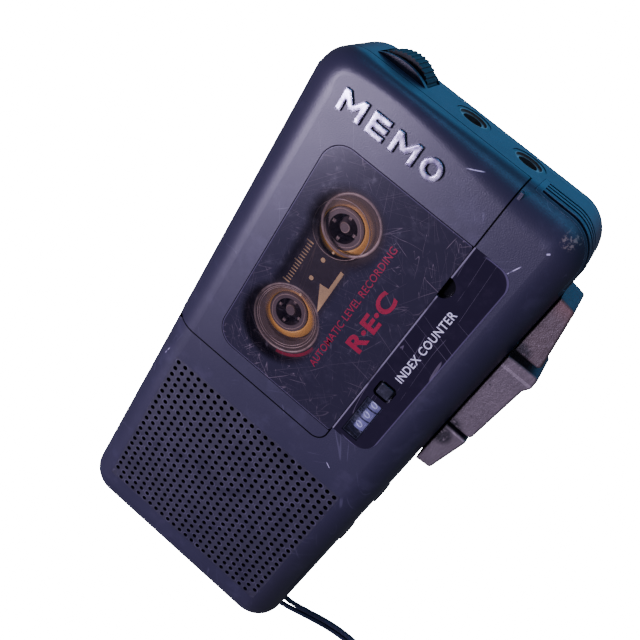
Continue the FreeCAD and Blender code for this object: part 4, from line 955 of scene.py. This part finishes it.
def thin_ring(at, outer, wide):
    """A low moulded ring on the shell."""
    inner, middle = outer - wide, outer - wide / 2
    top, base, under = SHELL_TOP + 0.12, SHELL_TOP, SHELL_TOP - 0.05
    return lathe("ring", [(inner, base), (middle, top), (outer, base), (outer, under), (inner, under)], at)


def add_shell_rings():
    """The rings moulded into the cassette's shell."""
    rings = [
        thin_ring(UPPER_RING, UPPER_RADIUS, 0.55),
        thin_ring(HUBS["take_up_reel"], 5.45, 0.2),
        thin_ring(LOWER_RING, LOWER_RADIUS, 0.45),
        thin_ring((-7.7, 11.8), 6.2, 0.18),
        thin_ring((-7.75, 11.9), 5.8, 0.14),
    ]
    piece("shell_rings", merged("shell_rings", rings), ring_paint(), "casing")


def add_tape_marks():
    """Scale, dots and arrow printed between the hubs, and a red band at the foot."""
    outlines = []
    for i in range(15):
        y = 18.1 + i * 0.66
        near, far, wide = (-10.8, -11.9, 0.09) if i % 7 else (-10.8, -12.35, 0.13)
        outlines.append([(far, y - wide), (near, y - wide), (near, y + wide), (far, y + wide)])
    dots = [((-7.82, 26.07), 0.45), ((-7.86, 21.76), 0.45), ((-7.03, 28.47), 0.25), ((-7.83, 17.56), 0.25)]
    outlines += [arc(at, radius, 0, 15, 24) for at, radius in dots]
    outlines.append([(-3.4, 16.81), (-3.31, 26.55), (-4.07, 26.58), (-4.13, 22.22), (-5.99, 21.99)])
    marks = [raised_outline("mark", corners, SHELL_TOP, INK_UP) for corners in outlines]
    cream = print_paint("cream_ink", (226, 200, 146), (252, 232, 184), 0.66)
    piece("tape_marks", merged("tape_marks", marks), cream, "casing")
    at = (-7.4, 11.6)
    band = arc(at, 7.6, -78, 4, 18) + arc(at, LOWER_RADIUS, -10, -4, 18)
    red = print_paint("red_band", (120, 26, 56), (150, 40, 70))
    piece("red_band", raised_outline("red_band", band, SHELL_TOP, INK_UP), red, "casing")


def add_gap_liner():
    """A dark strip inside, over the gap along the battery door's right side: a dark sheet that stands for shade
    in the gap.
    """
    corners = [(15.9, -40.0), (16.3, -40.0), (16.3, -4.2), (15.9, -4.2)]
    # Painted shade: a near-black sheet that keeps the gap dark.
    gap_shade = plain_paint("gap_shade_strip", (10, 10, 12), (22, 22, 26), 0.8, (0.8, 0.95))
    piece("gap_liner", raised_outline("gap_liner", corners, 1.65, 2.0), gap_shade, "casing")


add_gap_liner()
add_rims()
add_shell_rings()
add_tape_marks()

# ------------------------------------------------------------ printed words and digits


def add_words():
    """Generic words on the window and on the counter panel."""
    up = FRONT + 0.02
    red = print_paint("red_ink", (112, 8, 38), (150, 16, 54), 0.54)
    small = lay_text("AUTOMATIC LEVEL RECORDING", 2.3, 9.1, 37.8, 1.4, up, bold=0.004, spacing=1.05)
    big = lay_text("R·E·C", 7.5, 17.5, 30.6, 3.4, up, bold=0.035)
    piece("lens_words", merged("lens_words", [small, big]), red, "cassette_lid")
    white = print_paint("white_ink", (196, 196, 210), (226, 226, 236), 0.66)
    words = lay_text("INDEX COUNTER", 16.45, 18.5, 35.5, 1.55, up, bold=0.006, spacing=1.08)
    piece("panel_words", words, white, "casing")


# The counter drums' axis and radius, and the size and lean of a numeral.
DRUM = (15.05, 17.2, 2.9)
DIGIT_HIGH = 1.6
DIGIT_WIDE = 1.15
DIGIT_LEAN = 0.3


def wrapped_digit(number, along, turn):
    """One numeral bent round a counter drum, its middle at a given turn."""
    mesh = text_mesh(str(number), bold=0.01)
    across, up, radius = DRUM
    for v in mesh.vertices:
        x, y, z = v.co
        angle = math.radians(turn) - (y - 0.5) * DIGIT_HIGH / radius
        reach = radius + 0.012 + z
        side = along + (x - 0.5) * DIGIT_WIDE + (y - 0.5) * DIGIT_LEAN
        v.co = Vector((across + reach * math.sin(angle), side, up + reach * math.cos(angle))) * MM
    mesh.update()
    return mesh


def add_digits():
    """Numerals 0 to 9 round each counter drum."""
    ink = print_paint("digit_ink", (210, 210, 222), (240, 240, 248), 0.75)
    for body, along in (("counter_units", 9.85), ("counter_tens", 7.15), ("counter_hundreds", 4.45)):
        digits = [wrapped_digit(n, along, 36 * n) for n in range(10)]
        piece(body + "_digits", merged(body + "_digits", digits), ink, body)


add_words()
add_digits()

# ------------------------------------------------------------ floor and light


def add_floor():
    """A plain pale floor that sweeps up far behind the machine on every side. Metres."""
    bm = bmesh.new()
    sides = 64
    rings = []
    for radius, up in [(1.2, 0.0), (1.5, 0.04), (1.8, 0.2), (2.05, 0.5), (2.2, 0.95), (2.25, 1.5)]:
        circle = arc((0, 0), radius, 0, 360 / sides, sides)
        rings.append([bm.verts.new((x, y, up)) for x, y in circle])
    bm.faces.new(rings[0])
    for one, two in zip(rings, rings[1:]):
        for i in range(sides):
            k = (i + 1) % sides
            bm.faces.new((one[k], one[i], two[i], two[k])).smooth = True
    mesh = finished(bm, "floor")
    p = Paint("pale_floor")
    colour = p.mix(p.noise(60, 2), srgb(244, 244, 246), srgb(250, 250, 252))
    mesh.materials.append(p.set(colour, 0.9, gloss=0.1))
    floor = link(bpy.data.objects.new("floor", mesh))
    floor.visible_glossy = False
    floor.visible_diffuse = False
    floor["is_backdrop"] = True
    return floor


def add_light(name, at, aim, size, watts, colour):
    """A soft area lamp that lights the machine. Positions in millimetres."""
    data = bpy.data.lights.new(name, "AREA")
    data.shape = "RECTANGLE"
    data.size, data.size_y = size[0] * MM, size[1] * MM
    data.energy = watts
    data.color = colour
    lamp = link(bpy.data.objects.new(name, data))
    lamp.location = Vector(at) * MM
    lamp.rotation_mode = "QUATERNION"
    lamp.rotation_quaternion = (Vector(aim) - Vector(at)).to_track_quat("-Z", "Y")
    return lamp


def add_floor_light(floor):
    """An even light on the floor alone, so that it stays pale under a dark machine."""
    only_floor = bpy.data.collections.new("only_floor")
    only_floor.objects.link(floor)
    data = bpy.data.lights.new("floor_light", "SUN")
    data.energy = 90
    data.angle = math.radians(60)
    lamp = link(bpy.data.objects.new("floor_light", data))
    lamp.light_linking.receiver_collection = only_floor
    lamp.light_linking.blocker_collection = only_floor


def add_studio():
    """Dim surroundings, a broad lilac lamp, and two cool ones on the head end of the machine alone."""
    world = bpy.data.worlds.new("studio")
    bpy.context.scene.world = world
    world.use_nodes = True
    back = world.node_tree.nodes["Background"]
    back.inputs["Color"].default_value = (0.66, 0.68, 0.94, 1)
    back.inputs["Strength"].default_value = 0.17
    add_light("broad", (-205, -50, 380), (0, 0, 10), (120, 120), 2.9, (0.81, 0.7, 1.05))
    machine = bpy.data.collections.new("machine")
    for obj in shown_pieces():
        machine.objects.link(obj)
    high = add_light("head_high", (40, 330, 40), (0, 50, 12), (320, 60), 0.4, (0.1, 0.5, 1.0))
    low = add_light("head_low", (0, 140, -120), (0, 59, 12), (240, 120), 0.11, (0.05, 0.46, 1.0))
    for lamp in (high, low):
        lamp.light_linking.receiver_collection = machine
        lamp.light_linking.blocker_collection = machine


add_floor_light(add_floor())
add_studio()
